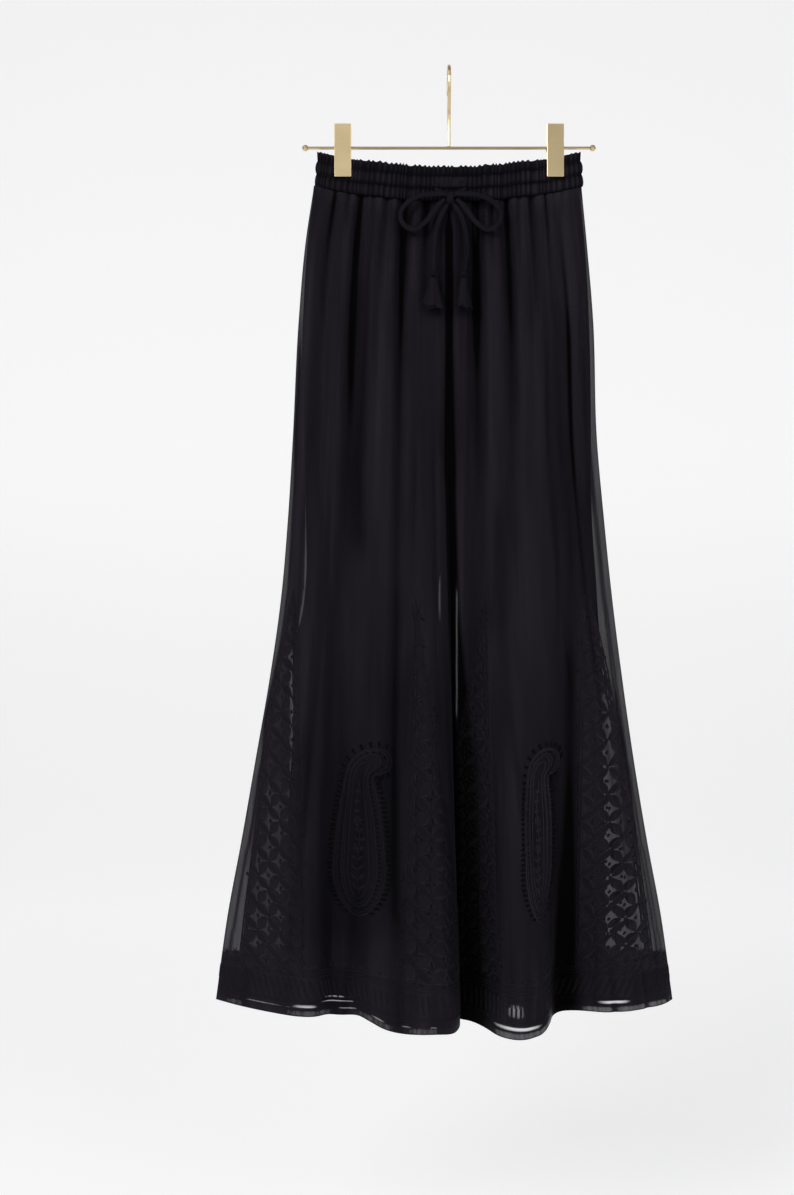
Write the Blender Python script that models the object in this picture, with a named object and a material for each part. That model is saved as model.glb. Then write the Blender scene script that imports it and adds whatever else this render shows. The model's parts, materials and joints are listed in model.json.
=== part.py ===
"""Palazzo trousers in sheer cloth over a narrower lining, hung from a clip hanger.

Metres, +Z up. The front faces -Y. The origin is the underside of the hanger's hook, where a
rail bears. Right and left are the wearer's, so the right leg is on the -X side.
"""

import math
from typing import NamedTuple

import bmesh
import bpy
import numpy as np

# Seams, walls and gaps
SEAM_GAP = 0.00015
PIECE_GAP = 0.0003
OUTER_WALL = 0.0015
LINING_WALL = 0.0010
EDGE_FOLD = 0.0020
LEG_GAP = 0.0012

# Heights of the garment below the hook
BAND_TOP_SIDE = -0.0966
BAND_SAG = 0.0207
SAG_POWER = 2.0
BAND_HEIGHT = 0.0400
CROTCH = -0.4620
LINING_CROTCH = -0.4150
HEM_CENTRE = -1.0940
HEM_RISE = 0.0190
HEM_RISE_POWER = 1.6
LINING_HEM_LIFT = 0.0300
BORDER_HEIGHT = 0.0560
BORDER_LIFT = 0.0140
SEAM_CENTRE = BAND_TOP_SIDE - BAND_SAG - BAND_HEIGHT - PIECE_GAP

# The waistband: frill, casing and lower casing, each a row of gathers
BAND_HALF_TOP = 0.1500
BAND_HALF_BOTTOM = 0.1540
BAND_WALL = 0.0020
GATHERS = {"front": 46, "back": 38}
GATHER_HEIGHT = 0.0008
PUFF_HEIGHT = 0.0009
PUFF_ROWS = 3

# Clip hanger
ROD_HEIGHT = -0.0920
ROD_RADIUS = 0.00175
ROD_HALF = 0.1620
KNOB_RADIUS = 0.0038
WIRE_RADIUS = 0.0020
HOOK_INNER_RADIUS = 0.0130
CLIP_PLACE = 0.1225
CLIP_WIDTH = 0.0195
CLIP_TOP = -0.0655
CLIP_BOTTOM = -0.1265
CLIP_PLATE = 0.0024
CLIP_HOLD = 0.0042
PINCHED_DEPTH = 0.0027
PINCH_SPREAD = 0.0230

# Drawstring, its bow and its tassels
CORD_RADIUS = 0.0028
THIN_CORD_RADIUS = 0.0018
KNOT_PLACE = (0.0010, -0.0220, -0.1545)
KNOT_SIZE = (0.0090, 0.0100, 0.0120)
TASSEL_HEIGHT = 0.0390
TASSEL_HALF_WIDTH = 0.0130

# Raised needlework
PLATE_THICKNESS = 0.0008
PAISLEY_HEIGHT = 0.2070
PAISLEY_HALF_WIDTH = 0.0340
PAISLEY_FOOT = -0.9710
PAISLEY_HOOK = 112.0
PANEL_COLUMNS = {"front": 20, "back": 17}
LINING_COLUMNS = 10


class Station(NamedTuple):
    """The cloth's outline at one height: half widths, mean depth, lean and parting of the legs."""

    height: float
    right_edge: float
    left_edge: float
    depth: float
    lean: float
    parting: float


STATIONS = (
    Station(-0.137, 0.1560, 0.1530, 0.0130, 0.00, 0.0000),
    Station(-0.200, 0.1655, 0.1590, 0.0170, 0.00, 0.0000),
    Station(-0.290, 0.1735, 0.1665, 0.0240, 0.00, 0.0000),
    Station(-0.430, 0.1805, 0.1710, 0.0310, 0.00, 0.0000),
    Station(-0.520, 0.1860, 0.1790, 0.0350, 0.02, 0.0002),
    Station(-0.612, 0.1940, 0.1885, 0.0380, 0.06, 0.0008),
    Station(-0.704, 0.2070, 0.2000, 0.0410, 0.12, 0.0015),
    Station(-0.796, 0.2230, 0.2130, 0.0440, 0.19, 0.0024),
    Station(-0.888, 0.2390, 0.2280, 0.0470, 0.26, 0.0034),
    Station(-0.980, 0.2560, 0.2450, 0.0500, 0.31, 0.0044),
    Station(-1.075, 0.2690, 0.2580, 0.0520, 0.34, 0.0050),
)


class LiningStation(NamedTuple):
    """The lining's side and inner edges at one height, and its share of the outer cloth's depth."""

    height: float
    right_edge: float
    left_edge: float
    inner_edge: float
    share: float


LINING_STATIONS = (
    LiningStation(-0.137, 0.1350, 0.1330, 0.0003, 0.80),
    LiningStation(-0.200, 0.1500, 0.1450, 0.0003, 0.66),
    LiningStation(-0.290, 0.1600, 0.1540, 0.0003, 0.55),
    LiningStation(-0.415, 0.1620, 0.1570, 0.0003, 0.50),
    LiningStation(-0.480, 0.1610, 0.1600, 0.0060, 0.50),
    LiningStation(-0.700, 0.1660, 0.1680, 0.0090, 0.50),
    LiningStation(-0.850, 0.1710, 0.1740, 0.0100, 0.50),
    LiningStation(-1.070, 0.1760, 0.1800, 0.0120, 0.50),
)

FOLD_HEIGHTS = (-0.150, -0.330, -0.700, -1.075)


class Fold(NamedTuple):
    """One soft ridge or trough: its place, push and spread at each of FOLD_HEIGHTS.

    Place and spread are shares of the way from the centre seam, 0, to the side seam, 1.
    """

    face: str
    side: str
    place: tuple
    push: tuple
    spread: tuple


FOLDS = (
    Fold("front", "right", (0.15, 0.15, 0.13, 0.17), (-0.002, 0.000, 0.007, 0.048), (0.03, 0.06, 0.09, 0.12)),
    Fold("front", "right", (0.31, 0.29, 0.31, 0.36), (-0.003, -0.004, -0.006, -0.004), (0.03, 0.04, 0.05, 0.05)),
    Fold("front", "right", (0.46, 0.45, 0.44, 0.40), (-0.003, 0.001, 0.002, 0.000), (0.03, 0.05, 0.08, 0.08)),
    Fold("front", "right", (0.60, 0.60, 0.65, 0.51), (-0.003, -0.008, -0.009, -0.034), (0.03, 0.04, 0.05, 0.065)),
    Fold("front", "right", (0.74, 0.78, 0.78, 0.67), (0.001, 0.002, 0.003, 0.010), (0.04, 0.07, 0.07, 0.07)),
    Fold("front", "right", (0.86, 0.87, 0.90, 0.84), (-0.003, -0.002, -0.002, -0.004), (0.03, 0.04, 0.04, 0.05)),
    Fold("front", "left", (0.20, 0.17, 0.08, 0.06), (-0.004, -0.005, -0.006, -0.010), (0.03, 0.04, 0.05, 0.05)),
    Fold("front", "left", (0.30, 0.28, 0.25, 0.25), (0.001, 0.002, 0.006, 0.056), (0.04, 0.06, 0.08, 0.085)),
    Fold("front", "left", (0.39, 0.40, 0.42, 0.40), (-0.004, -0.003, -0.002, 0.000), (0.03, 0.04, 0.05, 0.06)),
    Fold("front", "left", (0.63, 0.62, 0.64, 0.51), (-0.003, -0.002, -0.012, -0.042), (0.03, 0.05, 0.06, 0.075)),
    Fold("front", "left", (0.73, 0.74, 0.80, 0.76), (0.001, 0.002, 0.003, 0.008), (0.05, 0.06, 0.06, 0.06)),
    Fold("front", "left", (0.83, 0.84, 0.90, 0.88), (-0.004, -0.006, -0.002, -0.003), (0.03, 0.04, 0.04, 0.05)),
    Fold("back", "right", (0.12, 0.12, 0.15, 0.18), (-0.003, -0.002, 0.006, 0.022), (0.03, 0.05, 0.08, 0.08)),
    Fold("back", "right", (0.28, 0.28, 0.30, 0.33), (-0.003, -0.005, -0.007, -0.020), (0.03, 0.04, 0.05, 0.06)),
    Fold("back", "right", (0.44, 0.45, 0.46, 0.47), (-0.003, 0.002, 0.005, 0.018), (0.03, 0.05, 0.07, 0.07)),
    Fold("back", "right", (0.62, 0.62, 0.64, 0.62), (-0.003, -0.006, -0.008, -0.024), (0.03, 0.04, 0.05, 0.06)),
    Fold("back", "right", (0.78, 0.78, 0.78, 0.76), (-0.003, 0.001, 0.003, 0.010), (0.03, 0.06, 0.06, 0.06)),
    Fold("back", "left", (0.14, 0.14, 0.16, 0.14), (-0.003, -0.002, 0.005, 0.018), (0.03, 0.05, 0.08, 0.08)),
    Fold("back", "left", (0.33, 0.33, 0.30, 0.29), (-0.004, -0.006, -0.006, -0.018), (0.03, 0.04, 0.05, 0.06)),
    Fold("back", "left", (0.48, 0.48, 0.46, 0.44), (-0.003, 0.002, 0.006, 0.022), (0.03, 0.05, 0.07, 0.07)),
    Fold("back", "left", (0.66, 0.65, 0.62, 0.60), (-0.003, -0.005, -0.009, -0.026), (0.03, 0.04, 0.05, 0.06)),
    Fold("back", "left", (0.80, 0.80, 0.78, 0.76), (-0.003, 0.001, 0.003, 0.012), (0.03, 0.06, 0.06, 0.06)),
)

SHALLOWEST = 0.0060
INNER_ROUND = 0.22
SIDES = {"right": -1.0, "left": 1.0}
FACES = {"front": -1.0, "back": 1.0}


class Kali(NamedTuple):
    """A tall embroidered triangle: its point, and its foot on the border, in X; heights in Z."""

    name: str
    side: str
    tip: float
    foot_upright: float
    foot_flared: float
    top: float


KALIS = (
    Kali("outseam", "right", -0.1830, -0.1710, -0.2420, -0.6050),
    Kali("inseam", "right", -0.0380, -0.0520, 0.0180, -0.6150),
    Kali("inseam", "left", 0.0400, 0.0540, -0.0400, -0.6150),
    Kali("outseam", "left", 0.1560, 0.1480, 0.2350, -0.6050),
)


def lookup(at, rows, column):
    """Reads one column of a table at the heights asked for, on a smooth curve through its rows."""
    heights = np.array([row.height for row in rows][::-1])
    values = np.array([getattr(row, column) for row in rows][::-1])
    return smooth_curve(at, heights, values)


def smooth_curve(at, places, values):
    """A cubic curve through the values, whose slope at each place is that of its neighbours."""
    slopes = np.gradient(values, places)
    at = np.clip(at, places[0], places[-1])
    i = np.clip(np.searchsorted(places, at) - 1, 0, len(places) - 2)
    step = places[i + 1] - places[i]
    s = (at - places[i]) / step
    start = (1 + 2 * s) * (1 - s) ** 2 * values[i] + s * (1 - s) ** 2 * step * slopes[i]
    end = s * s * (3 - 2 * s) * values[i + 1] + s * s * (s - 1) * step * slopes[i + 1]
    return start + end


def ease(x):
    """Rises smoothly from 0 at 0 to 1 at 1."""
    x = np.clip(x, 0.0, 1.0)
    return x * x * (3 - 2 * x)


def band_top(x):
    """Height of the waistband's top edge, which sags between the clips."""
    share = np.clip(np.abs(x) / BAND_HALF_TOP, 0, 1)
    return BAND_TOP_SIDE - BAND_SAG * (1 - share**SAG_POWER)


def fold_push(face, side, across, height):
    """How far the folds push the cloth out from its mean depth."""
    heights = np.array(FOLD_HEIGHTS[::-1])
    total = np.zeros(np.broadcast(across, height).shape)
    for fold in FOLDS:
        if (fold.face, fold.side) != (face, side):
            continue
        place = smooth_curve(height, heights, np.array(fold.place[::-1]))
        push = smooth_curve(height, heights, np.array(fold.push[::-1]))
        spread = smooth_curve(height, heights, np.array(fold.spread[::-1]))
        total = total + push * np.exp(-0.5 * ((across - place) / spread) ** 2)
    return total


def pinch(x, height):
    """Share of the depth left where a clip holds front and back together."""
    release = 1 - ease((CLIP_BOTTOM - height) / 0.060)
    near = np.exp(-0.5 * ((np.abs(x) - CLIP_PLACE) / PINCH_SPREAD) ** 4)
    free = 0.0086
    return 1 - (1 - PINCHED_DEPTH / free) * release * near


def cloth_depth(face, side, across, x, height):
    """Distance of the outer cloth's surface from the garment's middle plane.

    The front and back close to a seam at the side and, below the crotch, at the inseam.
    """
    mean = lookup(height, STATIONS, "depth") + fold_push(face, side, across, height)
    mean = SHALLOWEST + 0.5 * (mean - SHALLOWEST + np.hypot(mean - SHALLOWEST, 0.004))
    side_round = 1 - np.clip(across, 0, 1) ** 5
    split = ease((-0.250 - height) / (-0.250 - CROTCH))
    q = np.clip(across / INNER_ROUND, 0, 1)
    inner_round = 1 - split * (1 - (1 - (1 - q) ** 2.5) ** 0.6)
    depth = mean * side_round * inner_round * pinch(x, height) + SEAM_GAP
    joined = height >= CROTCH - SEAM_GAP
    floor = (OUTER_WALL + 2 * SEAM_GAP) * (1 - across) ** 8 * joined
    return np.maximum(depth, floor)


def cloth_places(side, across, down):
    """X and Z of the cloth before it leans, from the waist seam, down 0, to the hem, down 1."""
    sign = SIDES[side]
    centre = SEAM_CENTRE + (HEM_CENTRE - SEAM_CENTRE) * down
    seam_rise = BAND_SAG * (1 - down) ** 3
    hem_rise = HEM_RISE * down**2
    height = centre + seam_rise * across**SAG_POWER + hem_rise * across**HEM_RISE_POWER
    at_side = centre + seam_rise + hem_rise
    edge = sign * lookup(at_side, STATIONS, f"{side}_edge")
    gap = SEAM_GAP + (LEG_GAP - SEAM_GAP) * ease((CROTCH - centre) / 0.030)
    inner = lookup(centre, STATIONS, "parting") + sign * gap
    return inner + (edge - inner) * across, height


def leaned(x, y, height):
    """A point as it hangs: towards the hem the front leans to the left leg's side."""
    return np.stack([x - y * lookup(height, STATIONS, "lean"), y, height], axis=-1)


def outer_surface(face, side, across, down):
    """Points of the outer cloth's face, rows down and columns across."""
    x, height = cloth_places(side, across, down)
    depth = cloth_depth(face, side, across, x, height)
    return leaned(x, FACES[face] * depth, height)


def lining_surface(face, side, across, down):
    """Points of the lining's outer face, inside the sheer cloth and narrower than it."""
    sign = SIDES[side]
    centre = SEAM_CENTRE + (HEM_CENTRE + LINING_HEM_LIFT - SEAM_CENTRE) * down
    inner_edge = np.maximum(lookup(centre, LINING_STATIONS, "inner_edge"), 2 * SEAM_GAP)
    inner = sign * inner_edge + lookup(centre, STATIONS, "parting")
    edge = sign * lookup(centre, LINING_STATIONS, f"{side}_edge")
    x = inner + (edge - inner) * across
    height = centre + BAND_SAG * (1 - down) ** 3 * np.abs(x / BAND_HALF_BOTTOM) ** SAG_POWER
    outer_edge = sign * lookup(height, STATIONS, f"{side}_edge")
    step = 1.0 / LINING_COLUMNS
    share = lookup(height, LINING_STATIONS, "share")
    near = np.full(x.shape, np.inf)
    for offset in np.linspace(-step, step, 5):
        place = np.clip((x + offset * (edge - inner)) / outer_edge, 0, 1)
        near = np.minimum(near, cloth_depth(face, side, place, place * outer_edge, height))
    side_round = 1 - np.clip(across, 0, 1) ** 6
    split = ease((-0.200 - height) / (-0.200 - LINING_CROTCH))
    q = np.clip(across / INNER_ROUND, 0, 1)
    inner_round = 1 - split * (1 - (1 - (1 - q) ** 2.5) ** 0.6)
    hung = np.minimum(share * near, near - OUTER_WALL - 2 * PIECE_GAP)
    depth = np.maximum(hung, 0) * side_round * inner_round + SEAM_GAP
    depth = np.maximum(depth, SEAM_GAP + 0.9 * LINING_WALL * ease((1 - across) / 0.08) * ease(across / 0.08))
    joined = height >= LINING_CROTCH - SEAM_GAP
    depth = np.maximum(depth, (LINING_WALL + 2 * SEAM_GAP) * (1 - across) ** 8 * joined)
    return leaned(x, FACES[face] * depth, height)


def surface_normals(face, side, points):
    """Unit normals of a grid of points, pointing away from the wearer."""
    along = np.gradient(points, axis=1)
    down = np.gradient(points, axis=0)
    normals = np.cross(along, down)
    normals /= np.linalg.norm(normals, axis=-1, keepdims=True)
    return normals * FACES[face] * SIDES[side]


def inner_of_wall(face, side, outer, wall, crotch):
    """The wall's inside points, kept on their own side of every seam."""
    sign = SIDES[side]
    out = FACES[face]
    inner = outer - wall * surface_normals(face, side, outer)
    joined = outer[:, 0, 2] >= crotch - SEAM_GAP
    centre = outer[:, 0].copy()
    centre[:, 1] = np.where(joined, outer[:, 0, 1] - out * wall, out * SEAM_GAP)
    centre[:, 0] = np.where(joined, outer[:, 0, 0], outer[:, 0, 0] + sign * EDGE_FOLD)
    inner[:, 0] = centre
    inward = (outer[:, -2] - outer[:, -1]) * np.array([1, 0, 1])
    inner[:, -1] = outer[:, -1] + EDGE_FOLD * inward / np.linalg.norm(inward, axis=1, keepdims=True)
    inner[0, -1, 2] -= 2 * PIECE_GAP
    inner[-1, -1, 2] += 2 * PIECE_GAP
    inner[..., 1] = out * np.maximum(out * inner[..., 1], SEAM_GAP)
    limit = np.where(joined, outer[:, 0, 0], -sign * 1.0)[:, None]
    inner[..., 0] = np.where(sign * inner[..., 0] < sign * limit, limit, inner[..., 0])
    return inner


def triangle_grid(index):
    """Two triangles for each cell of a grid of vertex numbers, all cut along the same diagonal."""
    a, b = index[:-1, :-1], index[:-1, 1:]
    d, c = index[1:, :-1], index[1:, 1:]
    cells = [np.stack(corner, axis=-1).reshape(-1, 3) for corner in ((a, b, c), (a, c, d))]
    return np.concatenate(cells).tolist()


def zip_edges(fine, coarse):
    """Triangles between two edges, one of which has several points for each of the other."""
    ratio = (len(fine) - 1) // (len(coarse) - 1)
    faces = []
    for k in range(len(coarse) - 1):
        run = fine[k * ratio : (k + 1) * ratio + 1]
        middle = (ratio + 1) // 2
        faces += [(coarse[k], run[i], run[i + 1]) for i in range(middle)]
        faces.append((coarse[k], run[middle], coarse[k + 1]))
        faces += [(coarse[k + 1], run[i], run[i + 1]) for i in range(middle, ratio)]
    return faces


def wall_object(name, outer, inner, material):
    """A closed wall between an outer grid of points and an inner one, which may be coarser."""
    outer_index = np.arange(outer.shape[0] * outer.shape[1]).reshape(outer.shape[:2])
    inner_index = outer_index.size + np.arange(inner.shape[0] * inner.shape[1]).reshape(inner.shape[:2])
    faces = triangle_grid(outer_index) + triangle_grid(inner_index)
    for edge in ((0, slice(None)), (-1, slice(None)), (slice(None), 0), (slice(None), -1)):
        faces += zip_edges(outer_index[edge].tolist(), inner_index[edge].tolist())
    points = np.concatenate([outer.reshape(-1, 3), inner.reshape(-1, 3)])
    return mesh_object(name, points, faces, material)


def mesh_object(name, points, faces, material):
    """A mesh object whose faces all point outwards."""
    mesh = bpy.data.meshes.new(name)
    mesh.from_pydata(np.asarray(points).tolist(), [], faces)
    shaped = bmesh.new()
    shaped.from_mesh(mesh)
    bmesh.ops.recalc_face_normals(shaped, faces=shaped.faces)
    shaped.to_mesh(mesh)
    shaped.free()
    mesh.materials.append(material)
    made = bpy.data.objects.new(name, mesh)
    bpy.context.scene.collection.objects.link(made)
    return made


def make_material(name, colour, roughness, metallic=0.0):
    """A plain finish from a colour, a roughness and a metallic value."""
    material = bpy.data.materials.new(name)
    material.use_nodes = True
    shader = material.node_tree.nodes["Principled BSDF"]
    shader.inputs["Base Color"].default_value = (*colour, 1.0)
    shader.inputs["Roughness"].default_value = roughness
    shader.inputs["Metallic"].default_value = metallic
    return material


def panel_rows():
    """Rows of a panel from waist seam to hem, with one at the crotch and one at the border."""
    length = SEAM_CENTRE - HEM_CENTRE
    crotch = (SEAM_CENTRE - CROTCH) / length
    border = 1 - BORDER_HEIGHT / length
    foot = 1 - BORDER_LIFT / length
    upper = np.array([0.0, 0.012, 0.035, 0.075, 0.125, 0.18, 0.24])
    thigh = np.array([crotch, crotch + 0.03, 0.42, 0.49, 0.57, 0.65, 0.73, 0.80, 0.865])
    return np.concatenate([upper, [0.29], thigh, [0.91, border, foot, 1.0]])


def panel_columns(face):
    """Columns of a panel from its inner edge to its side, closer together by the seams."""
    count = PANEL_COLUMNS[face]
    return np.concatenate([[0.0, 0.018, 0.045], np.linspace(0.085, 0.930, count - 4), [0.970, 1.0]])


def make_panel(face, side, material):
    """One sheer panel: half of one leg and half of one side of the seat."""
    rows = panel_rows()
    across = panel_columns(face)[None, :] + 0 * rows[:, None]
    outer = outer_surface(face, side, across, rows[:, None] + 0 * across)
    inner = inner_of_wall(face, side, outer, OUTER_WALL, CROTCH)
    wall_object(f"panel_{face}_{side}", outer, inner, material)
    return outer


def make_lining(face, side, material):
    """One lining panel, shorter and narrower than the sheer one that it hangs in."""
    length = SEAM_CENTRE - HEM_CENTRE - LINING_HEM_LIFT
    crotch = (SEAM_CENTRE - LINING_CROTCH) / length
    rows = np.array([0.0, 0.05, 0.13, 0.21, crotch, crotch + 0.035, 0.42, 0.58, 0.74, 0.88, 1.0])
    across = np.linspace(0, 1, LINING_COLUMNS + 1)[None, :] + 0 * rows[:, None]
    outer = lining_surface(face, side, across, rows[:, None] + 0 * across)
    inner = inner_of_wall(face, side, outer, LINING_WALL, LINING_CROTCH)
    wall_object(f"lining_{face}_{side}", outer, inner, material)


def make_waistband(face, material):
    """Half of the gathered waistband, with three rows of gathers over a plain inside."""
    out = FACES[face]
    columns, rows = 2 * GATHERS[face], 2 * PUFF_ROWS
    u = np.linspace(-1, 1, columns + 1)[None, :] + np.zeros((rows + 1, 1))
    v = np.linspace(0, 1, rows + 1)[:, None] + 0 * u
    gather = (np.arange(columns + 1) % 2)[None, :] * np.array([0.7, 1.0, 0.25] + [1.0, 0.25, 1.0, 0.5])[:, None]
    puff = (np.arange(rows + 1) % 2)[:, None] + 0 * u
    outer = band_surface(face, u, v, gather, puff)
    plain = band_surface(face, u[::3, ::2], v[::3, ::2], 0.0, 0.0)
    inner = plain - np.array([0, out * BAND_WALL, 0])
    inner[..., 1] = out * np.maximum(out * inner[..., 1], SEAM_GAP)
    for end in (0, -1):
        inner[:, end, 0] -= np.sign(plain[:, end, 0]) * 1.2 * EDGE_FOLD
    wall_object(f"waistband_{face}", outer, inner, material)


def band_surface(face, u, v, gather, puff):
    """Points of the waistband's face: u runs from the right side to the left, v from top to bottom."""
    half = BAND_HALF_TOP + (BAND_HALF_BOTTOM - BAND_HALF_TOP) * v + 0.0012 * puff * np.abs(u) ** 12
    x = half * u
    height = band_top(BAND_HALF_TOP * u) - BAND_HEIGHT * v
    sides = np.where(u < 0, 0, 1)
    across = np.abs(u)
    depth = np.where(
        sides == 0,
        cloth_depth(face, "right", across, x, np.minimum(height, -0.137)),
        cloth_depth(face, "left", across, x, np.minimum(height, -0.137)),
    )
    depth = depth * pinch(x, height) / pinch(x, np.minimum(height, -0.137))
    pressed = 1 - 0.85 * np.exp(-0.5 * ((np.abs(x) - CLIP_PLACE) / 0.016) ** 4) * (height > CLIP_BOTTOM - 0.006)
    swell = (PUFF_HEIGHT * puff + GATHER_HEIGHT * gather) * pressed * (1 - across**20)
    return np.stack([x, FACES[face] * (depth + swell), height], axis=-1)


def raised_plate(name, face, side, outer, material):
    """A thin plate on a panel, made from the panel's own points moved out."""
    normals = surface_normals(face, side, outer)
    under = outer + PIECE_GAP * normals
    over = outer + (PIECE_GAP + PLATE_THICKNESS) * normals
    return wall_object(name, over, under, material)


def keep_inside(plate, outline, face):
    """Cuts a plate to an outline in X and Z, with a prism that runs through it along Y."""
    out = FACES[face]
    near, far = out * 0.00005, out * 0.2000
    count = len(outline)
    points = [(x, y, z) for y in (near, far) for x, z in outline]
    ring = list(range(count))
    sides = [(i, (i + 1) % count, count + (i + 1) % count, count + i) for i in ring]
    faces = [tuple(ring), tuple(count + i for i in reversed(ring)), *sides]
    prism = mesh_object(f"{plate.name}_outline", points, faces, plate.active_material)
    prism.hide_render = True
    prism.display_type = "WIRE"
    cut = plate.modifiers.new("Outline", "BOOLEAN")
    cut.operation = "INTERSECT"
    cut.solver = "EXACT"
    cut.object = prism


def paisley_outline(centre_x, foot_height, sign):
    """Outline of a paisley: a round foot whose body narrows, bends over and ends in a point.

    It follows a spine whose heading turns by HOOK over its last part; the half width swells as
    a circle does and then tapers to the tip.
    """
    hook = math.radians(PAISLEY_HOOK)
    share = np.linspace(0, 1, 13)
    heading = hook * ease((share - 0.70) / 0.28)
    steps = PAISLEY_HEIGHT / (len(share) - 1)
    spine_x = np.concatenate([[0], np.cumsum(np.sin(heading))[:-1] * steps])
    spine_z = np.concatenate([[0], np.cumsum(np.cos(heading))[:-1] * steps])
    fattest = 0.26
    rounded = np.sqrt(np.clip(1 - ((share - fattest) / fattest) ** 2, 0, 1))
    tapered = np.clip((1 - share) / (1 - fattest), 0, 1) ** 0.55
    half = PAISLEY_HALF_WIDTH * np.where(share < fattest, rounded, tapered)
    side_x, side_z = np.cos(heading) * half, -np.sin(heading) * half
    one = list(zip(spine_x + side_x, spine_z + side_z))
    other = list(zip(spine_x - side_x, spine_z - side_z))
    ring = one[:-1] + [(spine_x[-1], spine_z[-1])] + other[-2:0:-1]
    return [(centre_x + sign * x, foot_height + z) for x, z in ring]


def make_needlework(face, side, outer, material):
    """The raised border, the two tall triangles and the paisley of one panel."""
    rows = panel_rows()
    border, foot = len(rows) - 3, len(rows) - 2
    raised_plate(f"border_{face}_{side}", face, side, outer[border : foot + 1], material)
    body = outer[: border + 1].copy()
    body[-1] += (body[-2] - body[-1]) * 0.02
    for kali in KALIS:
        if kali.side != side:
            continue
        plate = raised_plate(f"kali_{kali.name}_{face}_{side}", face, side, body[10:, 1:], material)
        low = HEM_CENTRE
        reach = (kali.top - low) / (kali.top - (HEM_CENTRE + BORDER_HEIGHT))
        upright = kali.tip + (kali.foot_upright - kali.tip) * reach
        flared = kali.tip + (kali.foot_flared - kali.tip) * reach
        narrow = 0.0015
        keep_inside(
            plate,
            [(kali.tip - narrow, kali.top), (kali.tip + narrow, kali.top)]
            + sorted([(upright, low), (flared, low)], reverse=True),
            face,
        )
    place = {"right": -0.1040, "left": 0.0960}[side]
    plate = raised_plate(f"paisley_{face}_{side}", face, side, body[13:, 4:20], material)
    keep_inside(plate, paisley_outline(place, PAISLEY_FOOT, 1.0), face)


def rounded_box(name, centre, size, bevel, material):
    """A box with softened edges."""
    shape = bmesh.new()
    bmesh.ops.create_cube(shape, size=1.0)
    bmesh.ops.scale(shape, vec=size, verts=shape.verts)
    mesh = bpy.data.meshes.new(name)
    shape.to_mesh(mesh)
    shape.free()
    mesh.materials.append(material)
    box = bpy.data.objects.new(name, mesh)
    bpy.context.scene.collection.objects.link(box)
    box.location = centre
    soft = box.modifiers.new("Soft edges", "BEVEL")
    soft.width = bevel
    soft.segments = 2
    return box


def tube(name, route, radius, material, step):
    """A round tube along a smooth curve through the route's points."""
    route = np.array(route)
    along = np.concatenate([[0], np.cumsum(np.linalg.norm(np.diff(route, axis=0), axis=1))])
    at = np.linspace(0, along[-1], max(3, round(along[-1] / step) + 1))
    points = np.stack([smooth_curve(at, along, route[:, axis]) for axis in range(3)], axis=1)
    curve = bpy.data.curves.new(name, "CURVE")
    curve.dimensions = "3D"
    curve.bevel_depth = radius
    curve.bevel_resolution = 2
    curve.use_fill_caps = True
    line = curve.splines.new("POLY")
    line.points.add(len(points) - 1)
    line.points.foreach_set("co", np.column_stack([points, np.ones(len(points))]).ravel())
    curve.materials.append(material)
    made = bpy.data.objects.new(name, curve)
    bpy.context.scene.collection.objects.link(made)
    return made


def bow_loop(sign):
    """Route of one loop of the bow, out along its top and back to the knot along its foot."""
    knot_x, knot_y, knot_z = KNOT_PLACE
    start = KNOT_SIZE[0] / 2 + PIECE_GAP
    offsets = (
        (start, -0.0024, 0.0031),
        (0.0180, -0.0034, 0.0030),
        (0.0360, -0.0045, 0.0000),
        (0.0500, -0.0050, -0.0080),
        (0.0570, -0.0045, -0.0200),
        (0.0530, -0.0040, -0.0320),
        (0.0420, -0.0040, -0.0370),
        (0.0300, -0.0045, -0.0300),
        (0.0190, -0.0040, -0.0160),
        (0.0125, -0.0030, -0.0075),
        (start + 0.0020, -0.0026, -0.0026),
    )
    return [(knot_x + sign * x, knot_y + y, knot_z + z) for x, y, z in offsets]


def bow_tail(sign):
    """Route of one free end, from under the knot down the front of the cloth to its tassel."""
    knot_x, knot_y, knot_z = KNOT_PLACE
    under = knot_z - KNOT_SIZE[2] / 2 - PIECE_GAP
    sweep = {-1.0: (0.0032, 0.0080, 0.0140, 0.0160, 0.0160), 1.0: (0.0032, 0.0100, 0.0160, 0.0205, 0.0200)}[sign]
    drops = (0.0, -0.0120, -0.0300, -0.0560, -0.0820)
    fronts = (0.0022, -0.0005, -0.0045, -0.0100, -0.0140)
    return [(knot_x + sign * x, knot_y + y, under + z) for x, y, z in zip(sweep, fronts, drops)]


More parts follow.
